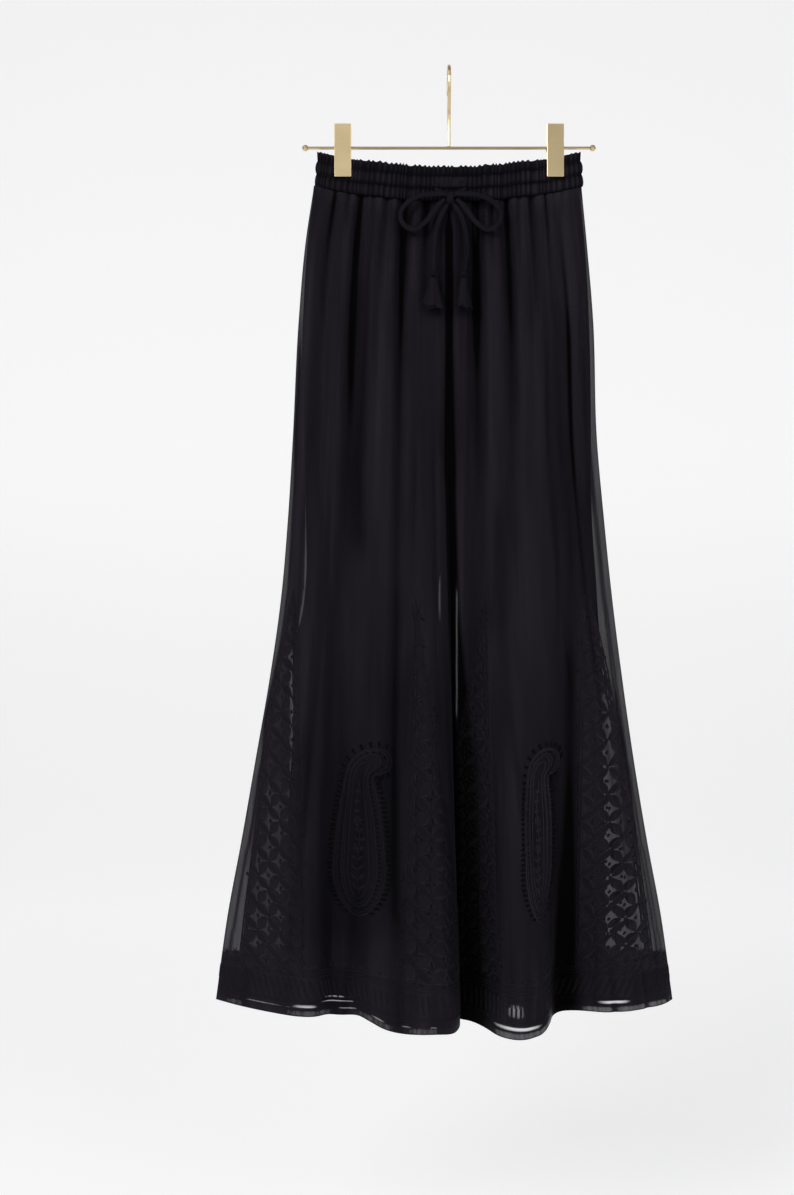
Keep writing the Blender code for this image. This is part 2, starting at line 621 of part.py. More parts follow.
def make_tassel(side, top, turn, material):
    """A folded cloth tassel: a hollow bell, flatter front to back, with four soft pleats."""
    around, levels = 12, 4
    angle = np.arange(around) * 2 * math.pi / around
    lobes = 1 + 0.14 * np.cos(4 * angle)
    shares = np.linspace(0, 1, levels + 1)
    rings = []
    for share, wall in [(s, 0.0) for s in shares] + [(1.0, 0.0016), (0.55, 0.0016)]:
        half = 0.0022 + (TASSEL_HALF_WIDTH - 0.0022) * share**1.15 - wall
        reach = lobes * (1 if share > 0.3 else 0.9)
        flat = 0.0022 + (0.0062 - 0.0022) * share - wall
        across = half * reach * np.cos(angle)
        ahead = flat * reach * np.sin(angle)
        drop = -TASSEL_HEIGHT * share - 0.002 * share * np.cos(angle)
        x = across * math.cos(turn) - ahead * math.sin(turn)
        y = across * math.sin(turn) + ahead * math.cos(turn)
        rings.append(np.stack([top[0] + x, top[1] + y, top[2] + drop], axis=1))
    points = np.concatenate(rings)
    faces = []
    for ring in range(len(rings) - 1):
        for k in range(around):
            low, high = ring * around, (ring + 1) * around
            following = (k + 1) % around
            faces.append((low + k, low + following, high + following, high + k))
    faces.append(tuple(range(around)))
    faces.append(tuple(range((len(rings) - 1) * around, len(rings) * around)))
    mesh_object(f"tassel_{side}", points, faces, material)


def make_drawstring(material):
    """The drawstring outside its casing: two short runs, knot, bow and two tasselled ends."""
    knot_x, knot_y, knot_z = KNOT_PLACE
    rounded_box("knot", KNOT_PLACE, KNOT_SIZE, 0.0022, material)
    for side, sign in SIDES.items():
        tube(f"bow_loop_{side}", bow_loop(sign), CORD_RADIUS, material, 0.010)
        tail = bow_tail(sign)
        tube(f"bow_tail_{side}", tail, CORD_RADIUS, material, 0.013)
        top = np.array(tail[-1]) - np.array([0, 0, 2 * PIECE_GAP])
        make_tassel(side, top, {"right": 0.15, "left": -0.60}[side], material)
        from_knot = knot_x + sign * (KNOT_SIZE[0] / 2 + PIECE_GAP)
        route = [
            (from_knot, knot_y + 0.0038, knot_z + 0.0040),
            (from_knot + sign * 0.0060, knot_y + 0.0035, knot_z + 0.0070),
            (from_knot + sign * 0.0125, knot_y + 0.0042, knot_z + 0.0105),
        ]
        tube(f"drawstring_{side}", route, THIN_CORD_RADIUS, material, 0.005)


def turned(name, profile, material, closed=False, segments=12):
    """A solid turned about the X axis from (x, radius) points, or a ring if the profile is closed."""
    angle = np.arange(segments) * 2 * math.pi / segments
    rings = [np.stack([np.full(segments, x), r * np.cos(angle), r * np.sin(angle)], axis=1) for x, r in profile]
    faces = []
    count = len(profile)
    for ring in range(count if closed else count - 1):
        low, high = ring * segments, (ring + 1) % count * segments
        for k in range(segments):
            following = (k + 1) % segments
            faces.append((low + k, low + following, high + following, high + k))
    if not closed:
        faces.append(tuple(range(segments)))
        faces.append(tuple(range((count - 1) * segments, count * segments)))
    made = mesh_object(name, np.concatenate(rings), faces, material)
    made.data.shade_smooth()
    made.data.set_sharp_from_angle(angle=math.radians(40))
    return made


def make_rod(material):
    """The hanger's thin bar with a small round knob at each end."""
    knob = [
        (ROD_HALF + KNOB_RADIUS * (1 - math.cos(a)), KNOB_RADIUS * math.sin(a))
        for a in np.radians([28, 60, 90, 120, 150, 170])
    ]
    half = [(0.0, ROD_RADIUS), *[(x, r) for x, r in knob]]
    profile = [(-x, r) for x, r in reversed(half[1:])] + half
    turned("hanger_bar", profile, material).location = (0, 0, ROD_HEIGHT)


def make_hook(material):
    """The hook: a wire that rises from the bar, goes round in front of the rail and over it."""
    reach = HOOK_INNER_RADIUS + WIRE_RADIUS
    centre = -HOOK_INNER_RADIUS
    arc = [
        (0.0, -reach * math.cos(a), centre + reach * math.sin(a))
        for a in np.radians([0, 22.5, 45, 67.5, 90, 112.5, 135, 157.5, 180])
    ]
    stem = [
        (0.0, 0.0, ROD_HEIGHT + ROD_RADIUS + PIECE_GAP),
        (0.0, 0.0, -0.0640),
        (0.0, -0.0020, -0.0520),
        (0.0, -0.0080, -0.0390),
        (0.0, -0.0135, -0.0260),
    ]
    tip = [(0.0, reach + 0.0006, centre - 0.0070), (0.0, reach + 0.0030, centre - 0.0130)]
    tube("hook", stem + arc + tip, WIRE_RADIUS, material, 0.0060)


def make_clips(material):
    """Two flat clips, each a front and a back plate either side of a collar on the bar."""
    height = CLIP_TOP - CLIP_BOTTOM
    middle = (CLIP_TOP + CLIP_BOTTOM) / 2
    for side, sign in SIDES.items():
        for face, out in FACES.items():
            centre = (sign * CLIP_PLACE, out * (CLIP_HOLD + CLIP_PLATE / 2), middle)
            rounded_box(f"clip_{face}_{side}", centre, (CLIP_WIDTH, CLIP_PLATE, height), 0.0005, material)
        bore, rim, half = ROD_RADIUS + PIECE_GAP, CLIP_HOLD - PIECE_GAP, 0.0070
        profile = [(-half, bore), (-half, rim), (half, rim), (half, bore)]
        collar = turned(f"clip_collar_{side}", profile, material, closed=True)
        collar.location = (sign * CLIP_PLACE, 0, ROD_HEIGHT)


def main():
    for thing in list(bpy.data.objects):
        bpy.data.objects.remove(thing)
    sheer = make_material("Sheer cloth", (0.020, 0.018, 0.024), 0.75)
    lining = make_material("Lining", (0.012, 0.011, 0.014), 0.60)
    thread = make_material("Embroidery thread", (0.016, 0.015, 0.019), 0.45)
    cord = make_material("Drawstring cloth", (0.018, 0.017, 0.022), 0.80)
    brass = make_material("Satin brass", (0.62, 0.47, 0.26), 0.35, 1.0)
    for face in FACES:
        make_waistband(face, sheer)
        for side in SIDES:
            outer = make_panel(face, side, sheer)
            make_lining(face, side, lining)
            make_needlework(face, side, outer, thread)
    make_drawstring(cord)
    make_rod(brass)
    make_hook(brass)
    make_clips(brass)


main()
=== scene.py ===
"""Looks of a pair of sheer embroidered palazzo trousers that hang from a brass clip hanger.

Metres, +Z up, the front faces -Y, and right and left are the wearer's. Each part of the garment
is a class: its sizes are fields, and its methods work out its surfaces as whole numpy arrays.
"""

import json
import logging
import math
from dataclasses import dataclass, field
from enum import Enum
from typing import Callable, NamedTuple, Sequence, Union

import bpy
import numpy as np
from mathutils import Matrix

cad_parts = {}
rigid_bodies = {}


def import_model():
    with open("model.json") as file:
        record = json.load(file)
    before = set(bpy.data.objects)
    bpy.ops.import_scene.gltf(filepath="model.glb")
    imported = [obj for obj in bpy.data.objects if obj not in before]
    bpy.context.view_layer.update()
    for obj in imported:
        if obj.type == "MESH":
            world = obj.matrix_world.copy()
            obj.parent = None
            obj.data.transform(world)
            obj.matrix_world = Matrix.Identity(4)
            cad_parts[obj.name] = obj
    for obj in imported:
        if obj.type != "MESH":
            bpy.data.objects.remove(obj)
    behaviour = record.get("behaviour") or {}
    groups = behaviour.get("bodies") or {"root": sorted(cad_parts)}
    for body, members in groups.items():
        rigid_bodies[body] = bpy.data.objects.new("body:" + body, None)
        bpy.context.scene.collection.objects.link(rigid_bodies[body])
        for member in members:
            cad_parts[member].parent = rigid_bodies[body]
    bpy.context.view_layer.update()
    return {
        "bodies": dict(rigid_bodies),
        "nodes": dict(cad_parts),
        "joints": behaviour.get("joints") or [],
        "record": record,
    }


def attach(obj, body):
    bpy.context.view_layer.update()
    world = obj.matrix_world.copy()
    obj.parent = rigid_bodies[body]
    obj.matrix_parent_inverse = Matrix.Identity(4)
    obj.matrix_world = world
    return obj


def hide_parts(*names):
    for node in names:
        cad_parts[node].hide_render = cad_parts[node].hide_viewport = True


Array = np.ndarray
Point = tuple[float, float, float]
log = logging.getLogger("trousers")


class Way(Enum):
    """A direction: its value is its sign, and its name gives the word for it."""

    @property
    def word(self) -> str:
        """The word that names of pieces hold."""
        return self.name.lower()


class Face(Way):
    """Front or back, with the way it faces along Y."""

    FRONT = -1.0
    BACK = 1.0


class Side(Way):
    """The wearer's right or left, with its way along X."""

    RIGHT = -1.0
    LEFT = 1.0


FR, FL = (Face.FRONT, Side.RIGHT), (Face.FRONT, Side.LEFT)
BR, BL = (Face.BACK, Side.RIGHT), (Face.BACK, Side.LEFT)
PANELS = (FR, FL, BR, BL)
EYE: Point = (-0.0600, -1.8330, -0.6110)


def panel_name(face: Face, side: Side) -> str:
    """What a leg panel is called, such as front_right."""
    return f"{face.word}_{side.word}"


# Shaders


class Value:
    """A number socket of a shader that Python's arithmetic works on."""

    def __init__(self, shader: "Shader", socket: bpy.types.NodeSocket) -> None:
        """Keeps the socket and the shader that new nodes go into."""
        self.shader = shader
        self.socket = socket

    def _math(self, operation: str, *others: "Number") -> "Value":
        """Adds a Math node of that operation on this value and the others."""
        inputs = dict(enumerate((self, *others)))
        return self.shader.node("ShaderNodeMath", {"operation": operation}, inputs)

    def __add__(self, other: "Number") -> "Value":
        """This value plus another."""
        return self._math("ADD", other)

    def __sub__(self, other: "Number") -> "Value":
        """This value less another."""
        return self._math("SUBTRACT", other)

    def __rsub__(self, other: float) -> "Value":
        """A number less this value."""
        return (self * -1.0) + other

    def __mul__(self, other: "Number") -> "Value":
        """This value times another."""
        return self._math("MULTIPLY", other)

    def __pow__(self, power: float) -> "Value":
        """This value to a power."""
        return self._math("POWER", power)

    __radd__ = __add__
    __rmul__ = __mul__

    def sine(self) -> "Value":
        """The sine of this value in radians."""
        return self._math("SINE")

    def clamped(self) -> "Value":
        """This value held between 0 and 1."""
        return self._math("MINIMUM", 1.0)._math("MAXIMUM", 0.0)


Number = Union[Value, float]


class Shader:
    """One material's nodes, all added through one method."""

    def __init__(self, name: str) -> None:
        """Starts a material of that name with a Principled shader."""
        self.material = bpy.data.materials.new(name)
        self.material.use_nodes = True
        self.tree = self.material.node_tree
        self.surface = self.tree.nodes["Principled BSDF"]

    def node(
        self, kind: str, settings: dict | None = None, inputs: dict | None = None, output: str | int = 0
    ) -> Value:
        """Adds any node.

        Args:
            kind: The node's type, such as ShaderNodeMath.
            settings: Its own settings, set before its sockets.
            inputs: Socket name or number to a plain value or a Value to link.
            output: The socket that is wanted from it.

        Returns:
            The wanted output, ready for arithmetic.
        """
        made = self.tree.nodes.new(kind)
        for name, value in (settings or {}).items():
            setattr(made, name, value)
        for key, value in (inputs or {}).items():
            self._feed(made.inputs[key], value)
        return Value(self, made.outputs[output])

    def _feed(self, socket: bpy.types.NodeSocket, value: object) -> None:
        """Links a Value to a socket, or sets the socket to a plain value."""
        if isinstance(value, Value):
            self.tree.links.new(value.socket, socket)
        else:
            socket.default_value = value

    def set(self, **sockets: object) -> None:
        """Feeds the Principled shader: underscores in a name stand for spaces."""
        for name, value in sockets.items():
            self._feed(self.surface.inputs[name.replace("_", " ")], value)

    def place(self, output: str = "Object") -> Value:
        """Texture coordinates of the piece: Object or UV."""
        return self.node("ShaderNodeTexCoord", output=output)

    def stretched(self, place: Value, scale: Point) -> Value:
        """Coordinates scaled apart, so that a pattern on them is stretched."""
        return self.node("ShaderNodeMapping", None, {"Vector": place, "Scale": scale})

    def noise(self, place: Value, scale: float, detail: float = 2.0) -> Value:
        """Soft noise from 0 to 1."""
        return self.node("ShaderNodeTexNoise", None, {"Vector": place, "Scale": scale, "Detail": detail})

    def attribute(self, name: str) -> Value:
        """A number that the mesh holds at its points."""
        return self.node("ShaderNodeAttribute", {"attribute_name": name}, output="Fac")

    def axes(self, place: Value) -> tuple[Value, Value, Value]:
        """The three parts of a vector."""
        split = self.node("ShaderNodeSeparateXYZ", None, {0: place})
        return tuple(Value(self, output) for output in split.socket.node.outputs)

    def blend(self, share: Number, low: Union[Point, Value], high: Point) -> Value:
        """A colour between two, the first plain or linked, by a share from 0 to 1."""
        start = low if isinstance(low, Value) else (*low, 1.0)
        inputs = {0: share, 6: start, 7: (*high, 1.0)}
        return self.node("ShaderNodeMix", {"data_type": "RGBA"}, inputs, output=2)

    def bumped(self, height: Value, strength: float, distance: float) -> Value:
        """A normal from a height in shares of a distance in metres."""
        inputs = {"Height": height, "Strength": strength, "Distance": distance}
        return self.node("ShaderNodeBump", None, inputs)


@dataclass(frozen=True)
class SheerCloth:
    """Black crepe chiffon: part of the light goes through, less where cloth is doubled."""

    dark: Point = (0.0062, 0.0052, 0.0077)
    light: Point = (0.0192, 0.0163, 0.0232)
    # crease is the colour of the painted shade: in creases and valleys, along dark runs, between the legs and
    # under the bow
    crease: Point = (0.0004, 0.0003, 0.0005)
    roughness: float = 0.58
    sheen: float = 0.02

    def material(self) -> bpy.types.Material:
        """Chiffon whose cover comes from the mesh, with slubs along the warp, long streaks of painted shade
        for soft folds, and painted shade from the fold attribute.
        """
        shader = Shader("sheer_cloth")
        place = shader.place()
        slub = shader.noise(shader.stretched(place, (260.0, 260.0, 9.0)), 1.0, 3.0)
        crepe = shader.noise(shader.stretched(place, (1.0, 1.0, 0.6)), 900.0, 1.0)
        crinkle = shader.noise(shader.stretched(place, (70.0, 70.0, 16.0)), 1.0, 3.0)
        # Long vertical streaks of painted shade stand in for the shading of soft folds
        soft_fold_shade = shader.noise(shader.stretched(place, (46.0, 46.0, 2.6)), 1.0, 2.0)
        cover = shader.attribute("cover") + (slub - 0.5) * 0.16 + (crepe - 0.5) * 0.10
        normal = shader.bumped(crinkle + crepe * 0.25, 0.35, 0.0008)
        tone = slub * 0.35 + crepe * 0.15 + (soft_fold_shade - 0.5) * 1.7 + 0.25
        flat = shader.blend(tone.clamped(), self.dark, self.light)
        # fold is painted shade: it darkens the cloth towards the crease colour and makes it more opaque and
        # rougher
        fold = shader.attribute("fold").clamped()
        shader.set(
            Base_Color=shader.blend(fold, flat, self.crease),
            Roughness=fold * 0.25 + self.roughness,
            Alpha=(cover + fold * 0.3).clamped(),
            Normal=normal,
            Sheen_Weight=self.sheen,
            Sheen_Roughness=0.4,
            Specular_IOR_Level=0.035,
        )
        return shader.material


@dataclass(frozen=True)
class LiningCloth:
    """Opaque soft black lining with a faint vertical grain."""

    dark: Point = (0.0030, 0.0024, 0.0038)
    light: Point = (0.0056, 0.0046, 0.0072)
    roughness: float = 0.60

    def material(self) -> bpy.types.Material:
        """Plain weave whose tone shifts a little along its length."""
        shader = Shader("lining_cloth")
        grain = shader.noise(shader.stretched(shader.place(), (180.0, 180.0, 8.0)), 1.0, 3.0)
        shader.set(
            Base_Color=shader.blend(grain, self.dark, self.light),
            Roughness=grain * 0.15 + (self.roughness - 0.07),
            Normal=shader.bumped(grain, 0.25, 0.0006),
            Specular_IOR_Level=0.03,
        )
        return shader.material


@dataclass(frozen=True)
class Needlework:
    """Black embroidery thread laid in satin stitches, a little glossier than the cloth."""

    name: str = "embroidery_thread"
    dark: Point = (0.0034, 0.0026, 0.0044)
    light: Point = (0.0120, 0.0098, 0.0150)
    rim: Point = (0.0300, 0.0255, 0.0360)
    sunk: Point = (0.0004, 0.0003, 0.0005)
    stitches: float = 1900.0
    roughness: float = 0.42

    def material(self) -> bpy.types.Material:
        """Fine ridges across each shape, from its UV, with uneven thread tone, a painted highlight along each
        shape's edges, and painted shade from the fold attribute.
        """
        shader = Shader(self.name)
        along, across, _ = shader.axes(shader.place("UV"))
        uneven = shader.noise(shader.place(), 420.0, 2.0)
        ridge = (along * (self.stitches * 2 * math.pi) + across * 2.0 + uneven * 3.0).sine() * 0.5 + 0.5
        thread = shader.blend((ridge * 0.6 + uneven * 0.4).clamped(), self.dark, self.light)
        # A painted highlight: each shape is lighter along its edges
        edge = ((across - 0.5) * 2.0) ** 2.0
        thread = shader.blend((edge**3.0 * 0.6).clamped(), thread, self.rim)
        # The fold attribute is painted shade: it darkens the thread towards the near-black shade colour
        shader.set(
            Base_Color=shader.blend(shader.attribute("fold").clamped(), thread, self.sunk),
            Roughness=self.roughness + uneven * 0.2,
            Normal=shader.bumped(ridge, 0.6, 0.00025),
            Sheen_Weight=0.02,
            Sheen_Roughness=0.35,
            Specular_IOR_Level=0.07,
        )
        return shader.material


@dataclass(frozen=True)
class CordCloth:
    """Soft woven black tube for the drawstring and its tassels."""

    dark: Point = (0.0042, 0.0035, 0.0053)
    light: Point = (0.0110, 0.0092, 0.0134)
    flank: Point = (0.0010, 0.0008, 0.0013)
    weave_pitch: float = 5200.0
    weave_turns: float = 40.0

    def material(self) -> bpy.types.Material:
        """A small diagonal weave on the tube's own UV, with wrinkles and painted shade along both flanks."""
        shader = Shader("drawstring_cloth")
        along, across, _ = shader.axes(shader.place("UV"))
        wrinkle = shader.noise(shader.place(), 160.0, 3.0)
        warp, weft = along * self.weave_pitch, across * self.weave_turns
        weave = ((warp + weft).sine() + (warp - weft).sine()) * 0.25 + 0.5
        cloth = shader.blend((weave * 0.4 + wrinkle * 0.6).clamped(), self.dark, self.light)
        # Painted shade: the tube is darker along both its flanks
        flank = ((across * (2 * math.pi) + math.pi / 2).sine() ** 2.0) ** 2.0
        shader.set(
            Base_Color=shader.blend((flank * 0.8).clamped(), cloth, self.flank),
            Roughness=0.74,
            Normal=shader.bumped(weave * 0.35 + wrinkle, 0.5, 0.0005),
            Sheen_Weight=0.04,
            Sheen_Roughness=0.4,
            Specular_IOR_Level=0.05,
        )
        return shader.material


@dataclass(frozen=True)
class SatinBrass:
    """Brushed pale brass of the hanger."""

    pale: Point = (0.78, 0.63, 0.38)
    deep: Point = (0.62, 0.48, 0.27)
    roughness: float = 0.30

    def material(self) -> bpy.types.Material:
        """Metal with fine brush lines along X and slow changes of tone."""
        shader = Shader("satin_brass")
        place = shader.place()
        brush = shader.noise(shader.stretched(place, (60.0, 2400.0, 2400.0)), 1.0, 2.0)
        cloud = shader.noise(place, 35.0, 2.0)
        shader.set(
            Base_Color=shader.blend((brush * 0.35 + cloud * 0.65).clamped(), self.deep, self.pale),
            Metallic=1.0,
            Roughness=self.roughness - 0.06 + brush * 0.10 + cloud * 0.05,
            Normal=shader.bumped(brush, 0.15, 0.0001),
        )
        return shader.material


@dataclass(frozen=True)
class Backdrop:
    """Matt pale paper for the floor and wall."""

    colour: Point = (0.60, 0.60, 0.61)
    glow: float = 0.54

    def material(self) -> bpy.types.Material:
        """Paper with hardly any tone of its own."""
        shader = Shader("studio_paper")
        tone = shader.noise(shader.place(), 0.7, 1.0)
        low = tuple(c * 0.985 for c in self.colour)
        shader.set(Base_Color=shader.blend(tone, low, self.colour), Roughness=0.95, Specular_IOR_Level=0.1)
        shader.set(Emission_Color=(1.0, 1.0, 1.0, 1.0), Emission_Strength=self.glow)
        return shader.material


# Meshes


@dataclass
class Piece:
    """One finished mesh piece, which can stand in for CAD nodes when it is built."""

    name: str
    points: Array
    faces: Array
    uv: Array | None = None
    numbers: dict[str, Array] = field(default_factory=dict)

    def build(
        self, material: bpy.types.Material, slot: str, replaces: Sequence[str] = ()
    ) -> bpy.types.Object:
        """Args:
            material: Its finish.
            slot: Not used.
            replaces: CAD nodes that it stands for.

        Returns:
            The piece's object, at the origin.
        """
        mesh = bpy.data.meshes.new(self.name)
        points, faces = self.points.reshape(-1, 3), self.faces.reshape(-1, 4)
        mesh.vertices.add(len(points))
        mesh.vertices.foreach_set("co", points.astype(np.float32).ravel())
        mesh.loops.add(faces.size)
        mesh.loops.foreach_set("vertex_index", faces.astype(np.int32).ravel())
        mesh.polygons.add(len(faces))
        mesh.polygons.foreach_set("loop_start", np.arange(0, faces.size, 4, dtype=np.int32))
        mesh.update(calc_edges=True)
        if self.uv is not None:
            layer = mesh.uv_layers.new(name="UVMap")
            layer.uv.foreach_set("vector", self.uv.reshape(-1, 2)[faces.ravel()].astype(np.float32).ravel())
        for name, values in self.numbers.items():
            layer = mesh.attributes.new(name, "FLOAT", "POINT")
            layer.data.foreach_set("value", values.astype(np.float32).ravel())
        mesh.shade_smooth()
        mesh.materials.append(material)
        mesh.validate()
        made = bpy.data.objects.new(self.name, mesh)
        bpy.context.scene.collection.objects.link(made)
        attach(made, "root")
        if replaces:
            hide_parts(*replaces)
        log.info("%s: %d faces", self.name, len(faces))
        return made


def grid_faces(rows: int, columns: int, wrap: bool = False, flip: bool = False) -> Array:
    """Quads of a grid of points, each row joined to the next.

    Args:
        rows: Points down.
        columns: Points across.
        wrap: Whether the last column joins the first.
        flip: Whether the faces turn the other way.

    Returns:
        An array of four point numbers a face.
    """
    index = np.arange(rows * columns).reshape(rows, columns)
    if wrap:
        index = np.concatenate([index, index[:, :1]], axis=1)
    corners = [index[:-1, :-1], index[:-1, 1:], index[1:, 1:], index[1:, :-1]]
    quads = np.stack(corners[::-1] if flip else corners, axis=-1)
    return quads.reshape(-1, 4)


def patch_faces(count: int, rows: int, columns: int, flip: bool = False) -> Array:
    """Quads of many small separate grids of points, one after the other."""
    one = grid_faces(rows, columns, flip=flip)
    starts = np.arange(count) * rows * columns
    return (one[None] + starts[:, None, None]).reshape(-1, 4)


def joined(pieces: Sequence[tuple[Array, Array, Array]]) -> tuple[Array, Array, Array]:
    """Joins several (points, faces, uv) into one, renumbering the faces."""
    counts = np.cumsum([0] + [p.reshape(-1, 3).shape[0] for p, _, _ in pieces])
    points = np.concatenate([p.reshape(-1, 3) for p, _, _ in pieces])
    faces = np.concatenate([f.reshape(-1, 4) + start for (_, f, _), start in zip(pieces, counts)])
    uv = np.concatenate([t.reshape(-1, 2) for _, _, t in pieces])
    return points, faces, uv


def grid(rows: Array, columns: Array) -> tuple[Array, Array]:
    """The values of rows and of columns, each repeated over their whole grid."""
    return np.meshgrid(rows, columns, indexing="ij")


def pairs(first: Array | float, second: Array | float) -> Array:
    """Two arrays as one of pairs: a uv map, or places along and up the cloth."""
    return np.stack(np.broadcast_arrays(first, second), axis=-1)


def run_lengths(route: Array) -> Array:
    """Length along a route to each of its points."""
    return np.concatenate([[0], np.cumsum(np.linalg.norm(np.diff(route, axis=0), axis=1))])


def ease(x: Array) -> Array:
    """Rises smoothly from 0 at 0 to 1 at 1: 3x squared less 2x cubed."""
    x = np.clip(x, 0.0, 1.0)
    return x * x * (3 - 2 * x)


def smooth_curve(at: Array, places: Array, values: Array) -> Array:
    """A cubic through values at rising places, with each slope that of its neighbours.

    Args:
        at: Where it is wanted.
        places: Rising places.
        values: The values there.

    Returns:
        The curve's values, held at the ends.
    """
    slopes = np.gradient(values, places)
    at = np.clip(at, places[0], places[-1])
    i = np.clip(np.searchsorted(places, at) - 1, 0, len(places) - 2)
    step = places[i + 1] - places[i]
    s = (at - places[i]) / step
    start = (1 + 2 * s) * (1 - s) ** 2 * values[i] + s * (1 - s) ** 2 * step * slopes[i]
    end = s * s * (3 - 2 * s) * values[i + 1] + s * s * (s - 1) * step * slopes[i + 1]
    return start + end


def bell(x: Array, spread: Array | float, power: float = 2.0) -> Array:
    """A bell curve of height 1, with flatter top and steeper sides at a higher power."""
    return np.exp(-0.5 * np.abs(x / spread) ** power)


# The form of the hanging cloth


class Station(NamedTuple):
    """The cloth's outline at one height."""

    height: float
    right_edge: float
    left_edge: float
    depth: float
    lean: float
    parting: float


class LiningStation(NamedTuple):
    """The lining's edges at one height, and its share of the sheer cloth's depth."""

    height: float
    right_edge: float
    left_edge: float
    inner_edge: float
    share: float


class Fold(NamedTuple):
    """One soft ridge or trough: its place, push and spread at each fold height."""

    place: tuple
    push: tuple
    spread: tuple


STATIONS = (
    Station(-0.137, 0.1560, 0.1530, 0.0130, 0.00, 0.0000),
    Station(-0.200, 0.1655, 0.1590, 0.0170, 0.00, 0.0000),
    Station(-0.290, 0.1735, 0.1665, 0.0240, 0.00, 0.0000),
    Station(-0.430, 0.1805, 0.1710, 0.0310, 0.00, 0.0000),
    Station(-0.520, 0.1860, 0.1790, 0.0350, 0.02, 0.0002),
    Station(-0.612, 0.1940, 0.1885, 0.0380, 0.06, 0.0008),
    Station(-0.704, 0.2070, 0.2000, 0.0410, 0.12, 0.0015),
    Station(-0.796, 0.2230, 0.2130, 0.0440, 0.19, 0.0024),
    Station(-0.888, 0.2390, 0.2280, 0.0470, 0.26, 0.0034),
    Station(-0.980, 0.2560, 0.2450, 0.0500, 0.31, 0.0044),
    Station(-1.075, 0.2690, 0.2580, 0.0520, 0.34, 0.0050),
)
LINING_STATIONS = (
    LiningStation(-0.137, 0.1510, 0.1480, -0.0004, 0.80),
    LiningStation(-0.200, 0.1610, 0.1550, -0.0004, 0.66),
    LiningStation(-0.290, 0.1680, 0.1610, -0.0004, 0.55),
    LiningStation(-0.415, 0.1700, 0.1640, -0.0004, 0.50),
    LiningStation(-0.480, 0.1660, 0.1640, 0.0006, 0.50),
    LiningStation(-0.535, 0.1650, 0.1655, 0.0012, 0.50),
    LiningStation(-0.590, 0.1650, 0.1695, 0.0120, 0.50),
    LiningStation(-0.630, 0.1690, 0.1720, 0.0130, 0.50),
    LiningStation(-0.670, 0.1785, 0.1750, 0.0135, 0.50),
    LiningStation(-0.760, 0.1800, 0.1770, 0.0130, 0.50),
    LiningStation(-0.850, 0.1850, 0.1790, 0.0060, 0.50),
    LiningStation(-0.920, 0.1880, 0.1800, 0.0050, 0.50),
    LiningStation(-1.070, 0.1900, 0.1820, 0.0050, 0.50),
)
FOLD_HEIGHTS = (-0.150, -0.330, -0.700, -1.075)
